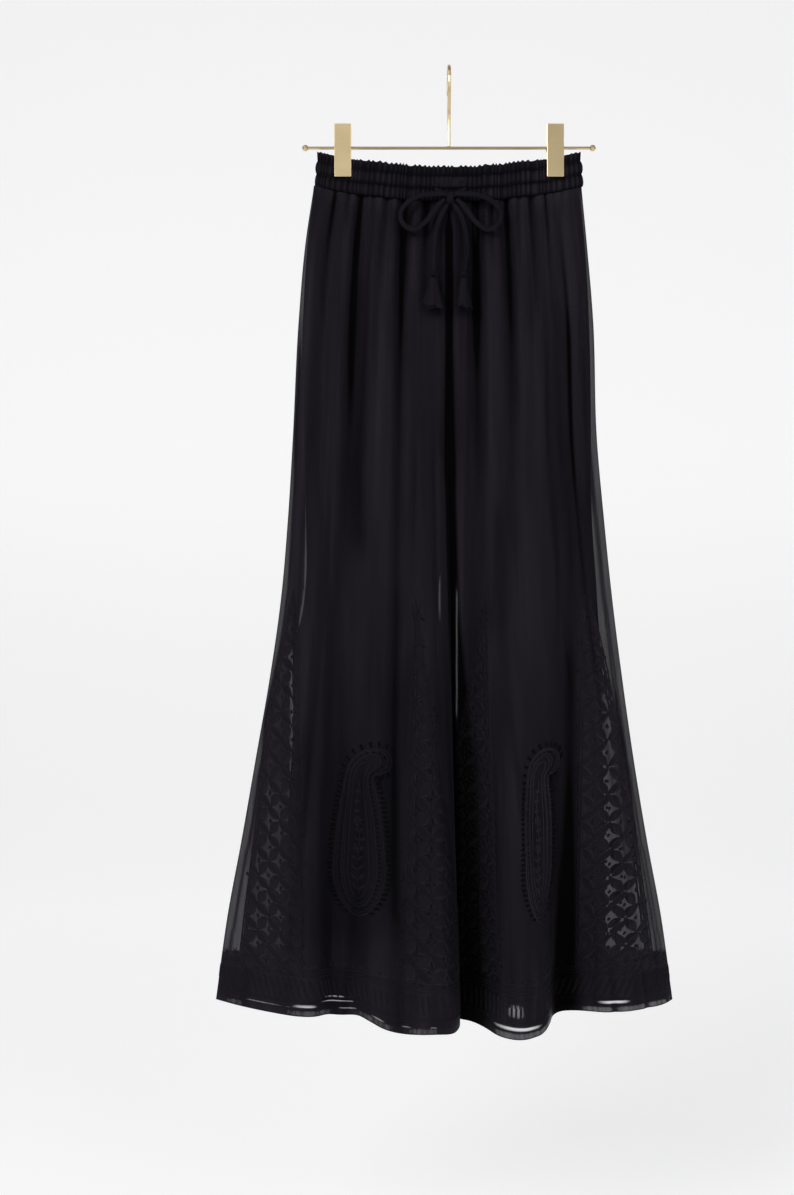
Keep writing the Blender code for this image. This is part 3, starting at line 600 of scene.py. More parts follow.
FOLDS = {
    FR: (
        Fold((0.15, 0.15, 0.13, 0.17), (-0.002, 0.000, 0.007, 0.048), (0.03, 0.06, 0.09, 0.12)),
        Fold((0.31, 0.29, 0.31, 0.36), (-0.003, -0.004, -0.006, -0.004), (0.03, 0.04, 0.05, 0.05)),
        Fold((0.46, 0.45, 0.44, 0.40), (-0.003, 0.001, 0.002, 0.000), (0.03, 0.05, 0.08, 0.08)),
        Fold((0.60, 0.60, 0.65, 0.51), (-0.003, -0.008, -0.009, -0.034), (0.03, 0.04, 0.05, 0.065)),
        Fold((0.74, 0.78, 0.78, 0.67), (0.001, 0.002, 0.003, 0.010), (0.04, 0.07, 0.07, 0.07)),
        Fold((0.86, 0.87, 0.90, 0.84), (-0.003, -0.002, -0.002, -0.004), (0.03, 0.04, 0.04, 0.05)),
    ),
    FL: (
        Fold((0.20, 0.17, 0.08, 0.07), (-0.004, -0.005, -0.016, -0.040), (0.03, 0.04, 0.06, 0.055)),
        Fold((0.30, 0.28, 0.23, 0.22), (0.001, 0.002, 0.008, 0.056), (0.04, 0.06, 0.08, 0.085)),
        Fold((0.39, 0.40, 0.42, 0.40), (-0.004, -0.003, -0.002, 0.000), (0.03, 0.04, 0.05, 0.06)),
        Fold((0.63, 0.62, 0.60, 0.475), (-0.003, -0.002, -0.012, -0.042), (0.03, 0.05, 0.06, 0.075)),
        Fold((0.73, 0.74, 0.80, 0.76), (0.001, 0.002, 0.003, 0.008), (0.05, 0.06, 0.06, 0.06)),
        Fold((0.83, 0.84, 0.90, 0.88), (-0.004, -0.006, -0.002, -0.003), (0.03, 0.04, 0.04, 0.05)),
    ),
    BR: (
        Fold((0.12, 0.12, 0.15, 0.18), (-0.003, -0.002, 0.006, 0.022), (0.03, 0.05, 0.08, 0.08)),
        Fold((0.28, 0.28, 0.30, 0.33), (-0.003, -0.005, -0.007, -0.020), (0.03, 0.04, 0.05, 0.06)),
        Fold((0.44, 0.45, 0.46, 0.47), (-0.003, 0.002, 0.005, 0.018), (0.03, 0.05, 0.07, 0.07)),
        Fold((0.62, 0.62, 0.64, 0.62), (-0.003, -0.006, -0.008, -0.024), (0.03, 0.04, 0.05, 0.06)),
        Fold((0.78, 0.78, 0.78, 0.76), (-0.003, 0.001, 0.003, 0.010), (0.03, 0.06, 0.06, 0.06)),
    ),
    BL: (
        Fold((0.14, 0.14, 0.16, 0.14), (-0.003, -0.002, 0.005, 0.018), (0.03, 0.05, 0.08, 0.08)),
        Fold((0.33, 0.33, 0.30, 0.29), (-0.004, -0.006, -0.006, -0.018), (0.03, 0.04, 0.05, 0.06)),
        Fold((0.48, 0.48, 0.46, 0.44), (-0.003, 0.002, 0.006, 0.022), (0.03, 0.05, 0.07, 0.07)),
        Fold((0.66, 0.65, 0.62, 0.60), (-0.003, -0.005, -0.009, -0.026), (0.03, 0.04, 0.05, 0.06)),
        Fold((0.80, 0.80, 0.78, 0.76), (-0.003, 0.001, 0.003, 0.012), (0.03, 0.06, 0.06, 0.06)),
    ),
}


class Crease(NamedTuple):
    """One sharp crease that falls from the waist seam: where, how deep and wide, how long."""

    place: float
    drift: float
    deep: float
    half: float
    length: float


CREASES = {
    FR: (
        Crease(0.17, 0.00, 0.0058, 0.0034, 0.16),
        Crease(0.33, -0.01, 0.0109, 0.0040, 0.17),
        Crease(0.46, 0.00, 0.0051, 0.0029, 0.14),
        Crease(0.55, 0.00, 0.0036, 0.0025, 0.07),
        Crease(0.65, -0.01, 0.0115, 0.0043, 0.30),
        Crease(0.74, 0.00, 0.0043, 0.0029, 0.08),
        Crease(0.84, 0.01, 0.0084, 0.0038, 0.28),
    ),
    FL: (
        Crease(0.20, -0.02, 0.0123, 0.0045, 0.30),
        Crease(0.32, 0.00, 0.0043, 0.0027, 0.09),
        Crease(0.43, 0.00, 0.0087, 0.0036, 0.24),
        Crease(0.53, 0.00, 0.0043, 0.0027, 0.10),
        Crease(0.62, 0.01, 0.0072, 0.0036, 0.18),
        Crease(0.73, 0.00, 0.0043, 0.0029, 0.10),
        Crease(0.81, 0.01, 0.0034, 0.0036, 0.13),
    ),
    BR: (
        Crease(0.16, 0.00, 0.0072, 0.0038, 0.26),
        Crease(0.30, 0.00, 0.0109, 0.0043, 0.34),
        Crease(0.48, 0.01, 0.0072, 0.0036, 0.20),
        Crease(0.62, 0.00, 0.0116, 0.0043, 0.30),
        Crease(0.80, 0.00, 0.0072, 0.0038, 0.24),
    ),
    BL: (
        Crease(0.18, 0.00, 0.0080, 0.0038, 0.24),
        Crease(0.33, 0.00, 0.0116, 0.0043, 0.32),
        Crease(0.50, -0.01, 0.0072, 0.0036, 0.22),
        Crease(0.66, 0.00, 0.0109, 0.0043, 0.30),
        Crease(0.82, 0.00, 0.0065, 0.0038, 0.26),
    ),
}


class Slit(NamedTuple):
    """An open slit of the hem: its share across, its height over the hem and its half sizes."""

    place: float
    half_width: float
    lift: float
    half_height: float
    clear: float = 1.0


HEM_SLITS = {
    FR: (
        Slit(0.860, 0.110, 0.0098, 0.0006, 0.45),
        Slit(0.680, 0.036, 0.0120, 0.0010, 0.80),
        Slit(0.515, 0.068, 0.0160, 0.0006, 0.72),
        Slit(0.508, 0.064, 0.0208, 0.0006, 0.66),
        Slit(0.500, 0.056, 0.0254, 0.0006, 0.58),
        Slit(0.480, 0.026, 0.0076, 0.0006, 0.80),
        Slit(0.385, 0.016, 0.0082, 0.0008, 0.45),
        Slit(0.300, 0.014, 0.0080, 0.0007, 0.40),
        Slit(0.215, 0.010, 0.0078, 0.0006, 0.35),
    ),
    FL: (
        Slit(0.170, 0.040, 0.0110, 0.0014),
        Slit(0.160, 0.016, 0.0290, 0.0065, 0.34),
        Slit(0.515, 0.020, 0.0215, 0.0010),
        Slit(0.510, 0.020, 0.0255, 0.0009),
        Slit(0.660, 0.044, 0.0125, 0.0013),
    ),
}


class Hollow(NamedTuple):
    """How valleys darken.

    The spread of the mean they are judged by is in shares of a row. Then come the depths at
    which shade starts and is full, its weight, and the share across where it ends.
    """

    spread: float
    least: float
    most: float
    weight: float
    last: float


NARROW_HOLLOW = Hollow(0.045, 0.0001, 0.0037, 1.00, 0.97)
WIDE_HOLLOWS = {
    Side.RIGHT: Hollow(0.130, 0.0060, 0.0340, 0.45, 0.86),
    Side.LEFT: Hollow(0.130, 0.0030, 0.0200, 0.90, 0.86),
}


class Veil(NamedTuple):
    """Doubled cloth outside the lining at one height: from and to in X, and how much it adds."""

    height: float
    inner: float
    outer: float
    share: float


VEILS = {
    Side.RIGHT: (
        Veil(-1.040, 0.1880, 0.2400, 0.4),
        Veil(-0.840, 0.1850, 0.2230, 0.4),
        Veil(-0.800, 0.1850, 0.2150, 1.0),
        Veil(-0.753, 0.1845, 0.2113, 1.0),
        Veil(-0.672, 0.1870, 0.1950, 1.0),
        Veil(-0.640, 0.1750, 0.1900, 1.0),
        Veil(-0.600, 0.1680, 0.1845, 1.0),
        Veil(-0.486, 0.1672, 0.1780, 1.0),
        Veil(-0.430, 0.1690, 0.1770, 1.0),
        Veil(-0.330, 0.1685, 0.1720, 1.0),
        Veil(-0.270, 0.1670, 0.1690, 0.0),
    ),
    Side.LEFT: (
        Veil(-0.950, 0.2080, 0.2190, 0.0),
        Veil(-0.880, 0.2000, 0.2110, 0.7),
        Veil(-0.820, 0.1930, 0.2050, 0.8),
        Veil(-0.750, 0.1880, 0.1940, 0.8),
        Veil(-0.700, 0.1830, 0.1860, 0.0),
    ),
}


class Shade(NamedTuple):
    """A dark run in a leg's front: its height and X at a few places, half width and strength."""

    line: tuple
    half: float
    deep: float


SHADES = {
    FR: (
        Shade(((-0.180, -0.1010), (-0.270, -0.1020)), 0.0050, 0.40),
        Shade(((-0.260, -0.1060), (-0.340, -0.1065), (-0.440, -0.1050), (-0.560, -0.1010)), 0.0080, 0.60),
        Shade(((-0.190, -0.0526), (-0.240, -0.0526)), 0.0050, 0.30),
        Shade(((-0.270, -0.0440), (-0.380, -0.0475)), 0.0050, 0.20),
        Shade(((-0.600, -0.0623), (-0.800, -0.0630), (-0.980, -0.0650)), 0.0110, 0.35),
        Shade(((-0.450, -0.1180), (-0.760, -0.1260), (-1.000, -0.1380)), 0.0100, 0.25),
        Shade(((-0.790, -0.1000), (-1.000, -0.1000)), 0.0220, 0.36),
        Shade(((-0.760, -0.1690), (-1.020, -0.1710)), 0.0120, 0.30),
    ),
    FL: (
        Shade(((-0.190, 0.0309), (-0.290, 0.0290), (-0.340, 0.0200)), 0.0070, 0.22),
        Shade(((-0.380, 0.0250), (-0.520, 0.0230), (-0.640, 0.0290), (-0.740, 0.0300)), 0.0095, 0.34),
        Shade(((-0.200, 0.0672), (-0.310, 0.0680), (-0.470, 0.0690)), 0.0055, 0.22),
        Shade(((-0.230, 0.0922), (-0.320, 0.0930)), 0.0040, 0.35),
        Shade(((-0.290, 0.1350), (-0.400, 0.1365), (-0.560, 0.1360), (-0.650, 0.1365)), 0.0055, 0.50),
        Shade(((-0.655, 0.1365), (-0.750, 0.1375), (-0.900, 0.1375), (-1.030, 0.1345)), 0.0065, 0.85),
        Shade(((-0.510, 0.0536), (-0.650, 0.0536)), 0.0085, 0.38),
    ),
}


class EdgeLine(NamedTuple):
    """A pale line beside an inseam: its X and the heights of its ends."""

    place: float
    top: float
    foot: float


EDGE_LINES = {Side.RIGHT: EdgeLine(-0.0108, -0.5750, -0.6500), Side.LEFT: EdgeLine(0.0098, -0.5900, -0.7700)}


class Reach(NamedTuple):
    """How far the shade between the legs reaches over each leg at one height."""

    height: float
    right: float
    left: float


INNER_SHADE = (
    Reach(-1.075, 0.0015, 0.0285),
    Reach(-0.800, 0.0015, 0.0260),
    Reach(-0.700, 0.0035, 0.0170),
    Reach(-0.620, 0.0055, 0.0110),
    Reach(-0.460, 0.0070, 0.0080),
    Reach(-0.330, 0.0060, 0.0050),
    Reach(-0.190, 0.0060, 0.0050),
    Reach(-0.165, 0.0000, 0.0000),
)
# The hem's waves: share across a panel, and how much lower than its even curve the hem lies there
HEM_DROPS = {
    FR: (
        (0.00, -0.002), (0.10, -0.003), (0.20, -0.0035), (0.26, 0.0008), (0.33, 0.005), (0.37, 0.0035),
        (0.41, -0.001), (0.44, -0.004), (0.49, 0.000), (0.60, -0.003), (0.66, -0.0025), (0.75, 0.000),
        (1.00, 0.000),
    ),
    FL: (
        (0.00, 0.000), (0.10, 0.0056), (0.125, 0.0090), (0.15, 0.0075), (0.175, 0.0033), (0.20, -0.0020),
        (0.225, -0.0058), (0.25, -0.0098), (0.275, -0.0128), (0.31, -0.0120), (0.36, -0.0070),
        (0.42, -0.0020), (0.50, -0.0030), (0.55, -0.0050), (0.65, -0.0060), (0.75, -0.0060),
        (0.82, -0.0040), (0.90, -0.0010), (1.00, 0.000),
    ),
    BR: (
        (0.00, 0.012), (0.20, 0.012), (0.28, 0.008), (0.36, 0.000), (0.44, -0.006), (0.52, -0.006),
        (0.60, -0.001), (0.68, 0.002), (0.76, 0.004), (0.85, 0.003), (1.00, 0.000),
    ),
    BL: (
        (0.00, 0.010), (0.20, 0.012), (0.30, 0.008), (0.40, 0.003), (0.50, -0.004), (0.58, -0.006),
        (0.66, -0.003), (0.75, 0.003), (0.85, 0.004), (0.93, 0.003), (1.00, 0.000),
    ),
}


@dataclass(frozen=True)
class Drape:
    """How the trousers hang: the outline, the depth, the large folds and the finer creases."""

    seam_gap: float = 0.00015
    band_top_side: float = -0.0966
    band_sag: float = 0.0207
    sag_power: float = 2.0
    band_height: float = 0.0400
    band_half_top: float = 0.1500
    band_half_bottom: float = 0.1540
    hem_centre: float = -1.0940
    hem_rise: float = 0.0190
    hem_rise_power: float = 1.6
    seam_rise_power: int = 3
    hem_drop_power: int = 12
    crotch: float = -0.4620
    seam_lap: float = 0.0004
    leg_lap: float = 0.0014
    leg_tuck: float = 0.0014
    tuck_reach: float = 0.0150
    shallowest: float = 0.0060
    soft_limit: float = 0.0040
    inner_round: float = 0.22
    side_power: float = 5.0
    lining_side_power: float = 6.0
    split_from: float = -0.250
    lining_split: tuple = (-0.200, -0.415)
    lining_clearance: float = 0.0024
    clip_place: float = 0.1225
    clip_bottom: float = -0.1265
    pinched: float = 0.0027
    pinch_spread: float = 0.0230
    band_depth: float = 0.0086
    gathers: int = 17
    gather_lengths: tuple = (0.025, 0.045, 0.09, 0.16)
    gather_odds: tuple = (0.3, 0.3, 0.25, 0.15)
    gather_depths: tuple = (0.0014, 0.0034)
    gather_spreads: tuple = (0.0055, 0.0085)
    gather_top: float = -0.140
    width_at_top: float = 0.165
    width_growth: float = 0.02
    inseam_deep: float = 0.0035
    inseam_half: float = 0.0020
    long_lines: int = 14
    line_places: tuple = (0.06, 0.92)
    line_pushes: tuple = (-0.0036, 0.0014)
    line_spreads: tuple = (0.012, 0.030)

    @property
    def seam_centre(self) -> float:
        """Height of the waist seam at the middle of the garment."""
        return self.band_top_side - self.band_sag - self.band_height - 0.0003

    @property
    def length(self) -> float:
        """From the waist seam down to the hem at the middle of the garment."""
        return self.seam_centre - self.hem_centre

    def lookup(self, at: Array, rows: Sequence[NamedTuple], column: str) -> Array:
        """Reads one column of a table of stations at the heights asked for."""
        heights = np.array([row.height for row in rows][::-1])
        values = np.array([getattr(row, column) for row in rows][::-1])
        return smooth_curve(at, heights, values)

    def band_top(self, x: Array) -> Array:
        """Height of the waistband's top edge, which sags between the clips."""
        share = np.clip(np.abs(x) / self.band_half_top, 0, 1)
        return self.band_top_side - self.band_sag * (1 - share**self.sag_power)

    def fold_push(self, face: Face, side: Side, across: Array, height: Array) -> Array:
        """How far the large folds push the cloth out: a sum of bell curves that drift with height."""
        heights = np.array(FOLD_HEIGHTS[::-1])
        total = np.zeros(np.broadcast(across, height).shape)
        for fold in FOLDS[face, side]:
            place, push, spread = (smooth_curve(height, heights, np.array(column[::-1])) for column in fold)
            total = total + push * bell(across - place, spread)
        return total

    def fine_creases(self, face: Face, side: Side, across: Array, height: Array) -> Array:
        """Gathers that spring from the waist seam and soft lines that run the whole length.

        Each is a narrow bell curve at a seeded place. A gather fades by a seeded length below
        the seam, and a long line keeps to the same share of the panel's width.
        """
        random = np.random.default_rng(11 + 2 * (face is Face.BACK) + (side is Side.LEFT))
        below = np.clip(self.gather_top - height, 0, None)
        total = np.zeros(np.broadcast(across, height).shape)
        places = (np.arange(self.gathers) + random.uniform(0.2, 0.8, self.gathers)) / self.gathers
        for place in places:
            length = random.choice(self.gather_lengths, p=self.gather_odds)
            deep, spread = random.uniform(*self.gather_depths), random.uniform(*self.gather_spreads)
            spread = spread * (1 + below * 6)
            total = total - deep * np.exp(-((below / length) ** 1.5)) * bell(across - place, spread)
        wide = self.width_at_top - height * self.width_growth
        for crease in CREASES[face, side]:
            at = (across - crease.place - crease.drift * below / 0.3) * wide
            half = crease.half * (1 + 1.6 * below)
            fade = np.exp(-((below / crease.length) ** 2.0)) * (0.55 + 0.45 * ease(below / 0.012))
            total = total - crease.deep * fade * bell(at, half, 1.8)
        total = total - self.inseam_deep * bell(across * wide, self.inseam_half, 1.6) * ease(below / 0.02)
        for place in random.uniform(*self.line_places, self.long_lines):
            push, spread = random.uniform(*self.line_pushes), random.uniform(*self.line_spreads)
            fade = ease(below / 0.12) * (0.6 + 0.4 * np.sin(below * random.uniform(3, 8)))
            total = total + push * fade * bell(across - place, spread)
        return total

    def pinch(self, x: Array, height: Array) -> Array:
        """Share of the depth left where a clip holds front and back together."""
        release = 1 - ease((self.clip_bottom - height) / 0.060)
        near = bell(np.abs(x) - self.clip_place, self.pinch_spread, 4.0)
        return 1 - (1 - self.pinched / self.band_depth) * release * near

    def closed(self, across: Array, height: Array, power: float, start: float, end: float) -> Array:
        """Share of the depth left: none at the side seam and, from start down to end, at the inseam."""
        split = ease((start - height) / (start - end))
        q = np.clip(across / self.inner_round, 0, 1)
        return (1 - np.clip(across, 0, 1) ** power) * (1 - split * (1 - (1 - (1 - q) ** 2.5) ** 0.6))

    def depth(
        self, face: Face, side: Side, across: Array, x: Array, height: Array, fine: bool = True
    ) -> Array:
        """Distance of the sheer cloth from the garment's middle plane.

        It is the mean depth plus the folds, held above a least depth, closed at the side seam
        and, towards the crotch, at the inseam. At both seams front and back just cross.

        Args:
            face: Front or back.
            side: The leg.
            across: Share across the panel from its inner edge.
            x: Where that is in X.
            height: Where that is in Z.
            fine: Whether the fine creases are added.

        Returns:
            The distance, not yet given the face's sign.
        """
        mean = self.lookup(height, STATIONS, "depth") + self.fold_push(face, side, across, height)
        over = mean - self.shallowest
        mean = self.shallowest + 0.5 * (over + np.hypot(over, self.soft_limit))
        if fine:
            mean = mean + self.fine_creases(face, side, across, height)
        closed = self.closed(across, height, self.side_power, self.split_from, self.crotch)
        sewn = 1 - 3 * (np.clip(across, 0, 1) ** 60 + np.clip(1 - across, 0, 1) ** 60)
        return mean * closed * self.pinch(x, height) + self.seam_gap * sewn

    def hem_drop(self, face: Face, side: Side, across: Array) -> Array:
        """How much lower the hem dips than its even curve, in soft waves."""
        places, drops = np.array(HEM_DROPS[face, side]).T
        return smooth_curve(across, places, drops)

    def places(self, face: Face, side: Side, across: Array, down: Array) -> tuple[Array, Array]:
        """X and height before the cloth leans, from the waist seam to the hem."""
        sign = side.value
        centre = self.seam_centre - self.length * down
        seam_rise = self.band_sag * (1 - down) ** self.seam_rise_power
        hem_rise = self.hem_rise * down**2
        height = centre + seam_rise * across**self.sag_power + hem_rise * across**self.hem_rise_power
        height = height - self.hem_drop(face, side, across) * down**self.hem_drop_power
        edge = sign * self.lookup(centre + seam_rise + hem_rise, STATIONS, f"{side.word}_edge")
        lap = self.seam_lap + (self.leg_lap - self.seam_lap) * ease((self.crotch - centre) / 0.030)
        inner = self.lookup(centre, STATIONS, "parting") - sign * lap
        return inner + (edge - inner) * across, height

    def tucked(self, side: Side, x: Array, height: Array) -> Array:
        """How far a leg's inner edge sits behind the other's: the wearer's right leg laps in front."""
        near = bell(x - self.lookup(height, STATIONS, "parting"), self.tuck_reach)
        return side.value * self.leg_tuck * near * ease((self.crotch - height) / 0.030)

    def leaned(self, x: Array, y: Array, height: Array) -> Array:
        """Points as they hang: towards the hem the front leans to the wearer's left."""
        return np.stack([x - y * self.lookup(height, STATIONS, "lean"), y, height], axis=-1)

    def outer(self, face: Face, side: Side, across: Array, down: Array) -> Array:
        """Points of the sheer cloth."""
        x, height = self.places(face, side, across, down)
        out = face.value * self.depth(face, side, across, x, height)
        return self.leaned(x, out + self.tucked(side, x, height), height)

    def lining(self, face: Face, side: Side, across: Array, down: Array, lift: float) -> Array:
        """Points of the lining: a share of the sheer cloth's depth, and always inside it.

        The sheer cloth's depth is the least of five beside each point, so that no fold of it
        cuts the lining.

        Args:
            face: Front or back.
            side: The leg.
            across: Share across the lining from its inner edge.
            down: Share down it.
            lift: How far its hem stops short of the sheer cloth's.

        Returns:
            Its points.
        """
        sign = side.value
        hem = self.hem_centre + lift
        centre = self.seam_centre + (hem - self.seam_centre) * down
        inner_edge = self.lookup(centre, LINING_STATIONS, "inner_edge")
        inner = sign * inner_edge + self.lookup(centre, STATIONS, "parting")
        edge = sign * self.lookup(centre, LINING_STATIONS, f"{side.word}_edge")
        x = inner + (edge - inner) * across
        sag = self.band_sag * (1 - down) ** self.seam_rise_power
        height = centre + sag * np.abs(x / self.band_half_bottom) ** self.sag_power
        outer_edge = sign * self.lookup(height, STATIONS, f"{side.word}_edge")
        near = np.full(x.shape, np.inf)
        for offset in np.linspace(-0.05, 0.05, 5):
            place = np.clip((x + offset * (edge - inner)) / outer_edge, 0, 1)
            near = np.minimum(near, self.depth(face, side, place, place * outer_edge, height))
        share = self.lookup(height, LINING_STATIONS, "share")
        closed = self.closed(across, height, self.lining_side_power, *self.lining_split)
        hung = np.maximum(np.minimum(share * near, near - self.lining_clearance), 0.0004)
        out = face.value * (hung * closed + self.seam_gap)
        return self.leaned(x, out + self.tucked(side, x, height), height)


class Panel:
    """One panel of sheer cloth as tables of points, normals and widths along each row."""

    widest = 0.25
    lower_shade = 0.20

    def __init__(self, drape: Drape, face: Face, side: Side, rows: int = 240, columns: int = 420) -> None:
        """Works out the tables on an even grid of shares down and across."""
        self.drape, self.face, self.side = drape, face, side
        self.rows, self.columns = rows, columns
        down, across = grid(np.linspace(0, 1, rows), np.linspace(0, 1, columns))
        self.points = drape.outer(face, side, across, down)
        flat_x, height = drape.places(face, side, across, down)
        self.from_inner = np.abs(flat_x - flat_x[:, :1])
        self.fine = drape.fine_creases(face, side, across, height)
        normals = np.cross(np.gradient(self.points, axis=1), np.gradient(self.points, axis=0))
        normals *= face.value * side.value
        self.normals = normals / np.linalg.norm(normals, axis=-1, keepdims=True)
        steps = np.linalg.norm(np.diff(self.points, axis=1), axis=-1)
        self.widths = np.concatenate([np.zeros((rows, 1)), np.cumsum(steps, axis=1)], axis=1)
        # fold holds painted shade: in creases and valleys, along the dark runs and where the legs meet
        self.fold = np.clip(self.folded(np.linspace(0, 1, columns)) + self.between(), 0, 1)

    def between(self) -> Array:
        """The deep shade where the legs meet: full at the inner edge, gone at a tabled reach.

        The wearer's right leg is also a little darker all over towards its hem.
        """
        x, _, height = np.moveaxis(self.points, -1, 0)
        heights, right, left = np.array(INNER_SHADE).T
        reach = np.interp(height, heights, right if self.side is Side.RIGHT else left)
        least = 0.0005
        near = 1 - ease((self.from_inner / np.maximum(reach, least) - 0.70) / 0.50)
        lower = self.lower_shade * ease((-0.65 - height) / 0.08) * ease((height + 1.04) / 0.05)
        lower = lower * (self.side is Side.RIGHT) * ease((0.172 - np.abs(x)) / 0.012)
        return lower + self.shaded() + np.where(reach > least, near, 0.0)

    def shaded(self) -> Array:
        """The picture's own dark runs down the front: a bell curve across each run."""
        x, _, height = np.moveaxis(self.points, -1, 0)
        total = np.zeros(x.shape)
        for run in SHADES.get((self.face, self.side), ()):
            heights, places = np.array(run.line)[::-1].T
            ends = ease((heights[-1] - height) / 0.070 + 0.5) * ease((height - heights[0]) / 0.050 + 0.5)
            total += run.deep * ends * bell(x - smooth_curve(height, heights, places), run.half)
        return total

    def folded(self, across: Array) -> Array:
        """Painted shade in creases: how deep in a crease each point lies, its depth short of running means of
        its row.

        A narrow mean of the fine creases alone finds those, and a wide one of the whole depth
        finds the large valleys. Each row is carried on past its ends by its own mirror image
        before it is averaged.
        """
        whole = self.face.value * self.points[..., 1]
        pad = self.columns // 3
        at = np.arange(self.columns + 2 * pad)[:, None] - (np.arange(self.columns) + pad)[None, :]
        total = np.zeros(whole.shape)
        for depth, hollow in ((self.fine, NARROW_HOLLOW), (whole, WIDE_HOLLOWS[self.side])):
            longer = np.pad(depth, ((0, 0), (pad, pad)), mode="reflect", reflect_type="odd")
            kernel = bell(at, hollow.spread * self.columns)
            short = longer @ (kernel / kernel.sum(axis=0)) - depth
            dark = np.clip((short - hollow.least) / (hollow.most - hollow.least), 0, 1) ** 1.1
            total += hollow.weight * dark * ease((hollow.last - across) / 0.08)
        return np.clip(total, 0, 1)

    @property
    def name(self) -> str:
        """Which panel it is, such as front_right."""
        return panel_name(self.face, self.side)

    def down_at(self, across: Array, height: Array) -> Array:
        """Share down at which the cloth has a height: the straight answer less the rises there."""
        drape = self.drape
        down = (drape.seam_centre - height) / drape.length
        for _ in range(5):
            rise = drape.band_sag * np.clip(1 - down, 0, 1) ** drape.seam_rise_power * across**drape.sag_power
            rise = rise + drape.hem_rise * down**2 * across**drape.hem_rise_power
            rise = rise - drape.hem_drop(self.face, self.side, across) * down**drape.hem_drop_power
            down = np.clip((drape.seam_centre - height + rise) / drape.length, 0, 1)
        return down

    def blended(self, table: Array, across: Array, down: Array) -> Array:
        """Reads a table between its rows and columns, each share weighing its neighbours."""
        r = np.clip(down, 0, 1) * (self.rows - 1)
        c = np.clip(across, 0, 1) * (self.columns - 1)
        i = np.minimum(r.astype(int), self.rows - 2)
        j = np.minimum(c.astype(int), self.columns - 2)
        fr, fc = r - i, c - j
        if table.ndim == 3:
            fr, fc = fr[..., None], fc[..., None]
        low = table[i, j] * (1 - fc) + table[i, j + 1] * fc
        high = table[i + 1, j] * (1 - fc) + table[i + 1, j + 1] * fc
        return low * (1 - fr) + high * fr

    def across_at(self, along: Array, down: Array) -> Array:
        """Share across at which a row has a width along the cloth, from its inner edge."""
        r = np.clip(down, 0, 1) * (self.rows - 1)
        low = np.minimum(r.astype(int), self.rows - 2)
        ranked = (self.widths + np.arange(self.rows)[:, None]).ravel()

        def in_row(row: Array) -> Array:
            """Share across in one row of the table."""
            limit = self.widths[row, -1]
            wanted = np.clip(along, 0, limit - 1e-9)
            index = np.searchsorted(ranked, wanted + row) - 1 - row * self.columns
            index = np.clip(index, 0, self.columns - 2)
            start, end = self.widths[row, index], self.widths[row, index + 1]
            return (index + (wanted - start) / (end - start)) / (self.columns - 1)

        share = r - low
        return in_row(low) * (1 - share) + in_row(low + 1) * share

    def lay(self, along: Array, height: Array, lift: Array) -> tuple[Array, Array]:
        """Points on the cloth from a width along it, a height, and a lift off it.

        Args:
            along: Width along the row from the inner edge.
            height: Z wanted.
            lift: Distance out along the normal.

        Returns:
            Points, and the painted shade that each takes from the cloth.
        """
        across = np.clip(along / self.widest, 0, 1)
        for _ in range(5):
            down = self.down_at(across, height)
            across = self.across_at(along, down)
        point = self.blended(self.points, across, down)
        normal = self.blended(self.normals, across, down)
        return point + np.asarray(lift)[..., None] * normal, self.blended(self.fold, across, down)

    def along_at(self, x: Array | float, height: Array) -> Array:
        """Width along the cloth at which it hangs at X, found by correcting a guess ten times."""
        x, height = np.broadcast_arrays(np.asarray(x, float), np.asarray(height, float))
        across = np.clip(np.abs(x) / self.widest, 0, 1)
        for _ in range(10):
            down = self.down_at(across, height)
            miss = x - self.blended(self.points, across, down)[..., 0]
            across = np.clip(across + 0.8 * self.side.value * miss / 0.24, 0, 1)
        return self.blended(self.widths, across, self.down_at(across, height))


# Stitched shapes on a panel


class Leaf(NamedTuple):
    """A satin leaf: half width, height off the cloth, points along and across, and its form.

    Its half width follows a half sine to the power point, and a vein is cut along its middle.
    """

    half: float
    tall: float
    rows: int
    columns: int
    point: float
    vein: float = 0.0


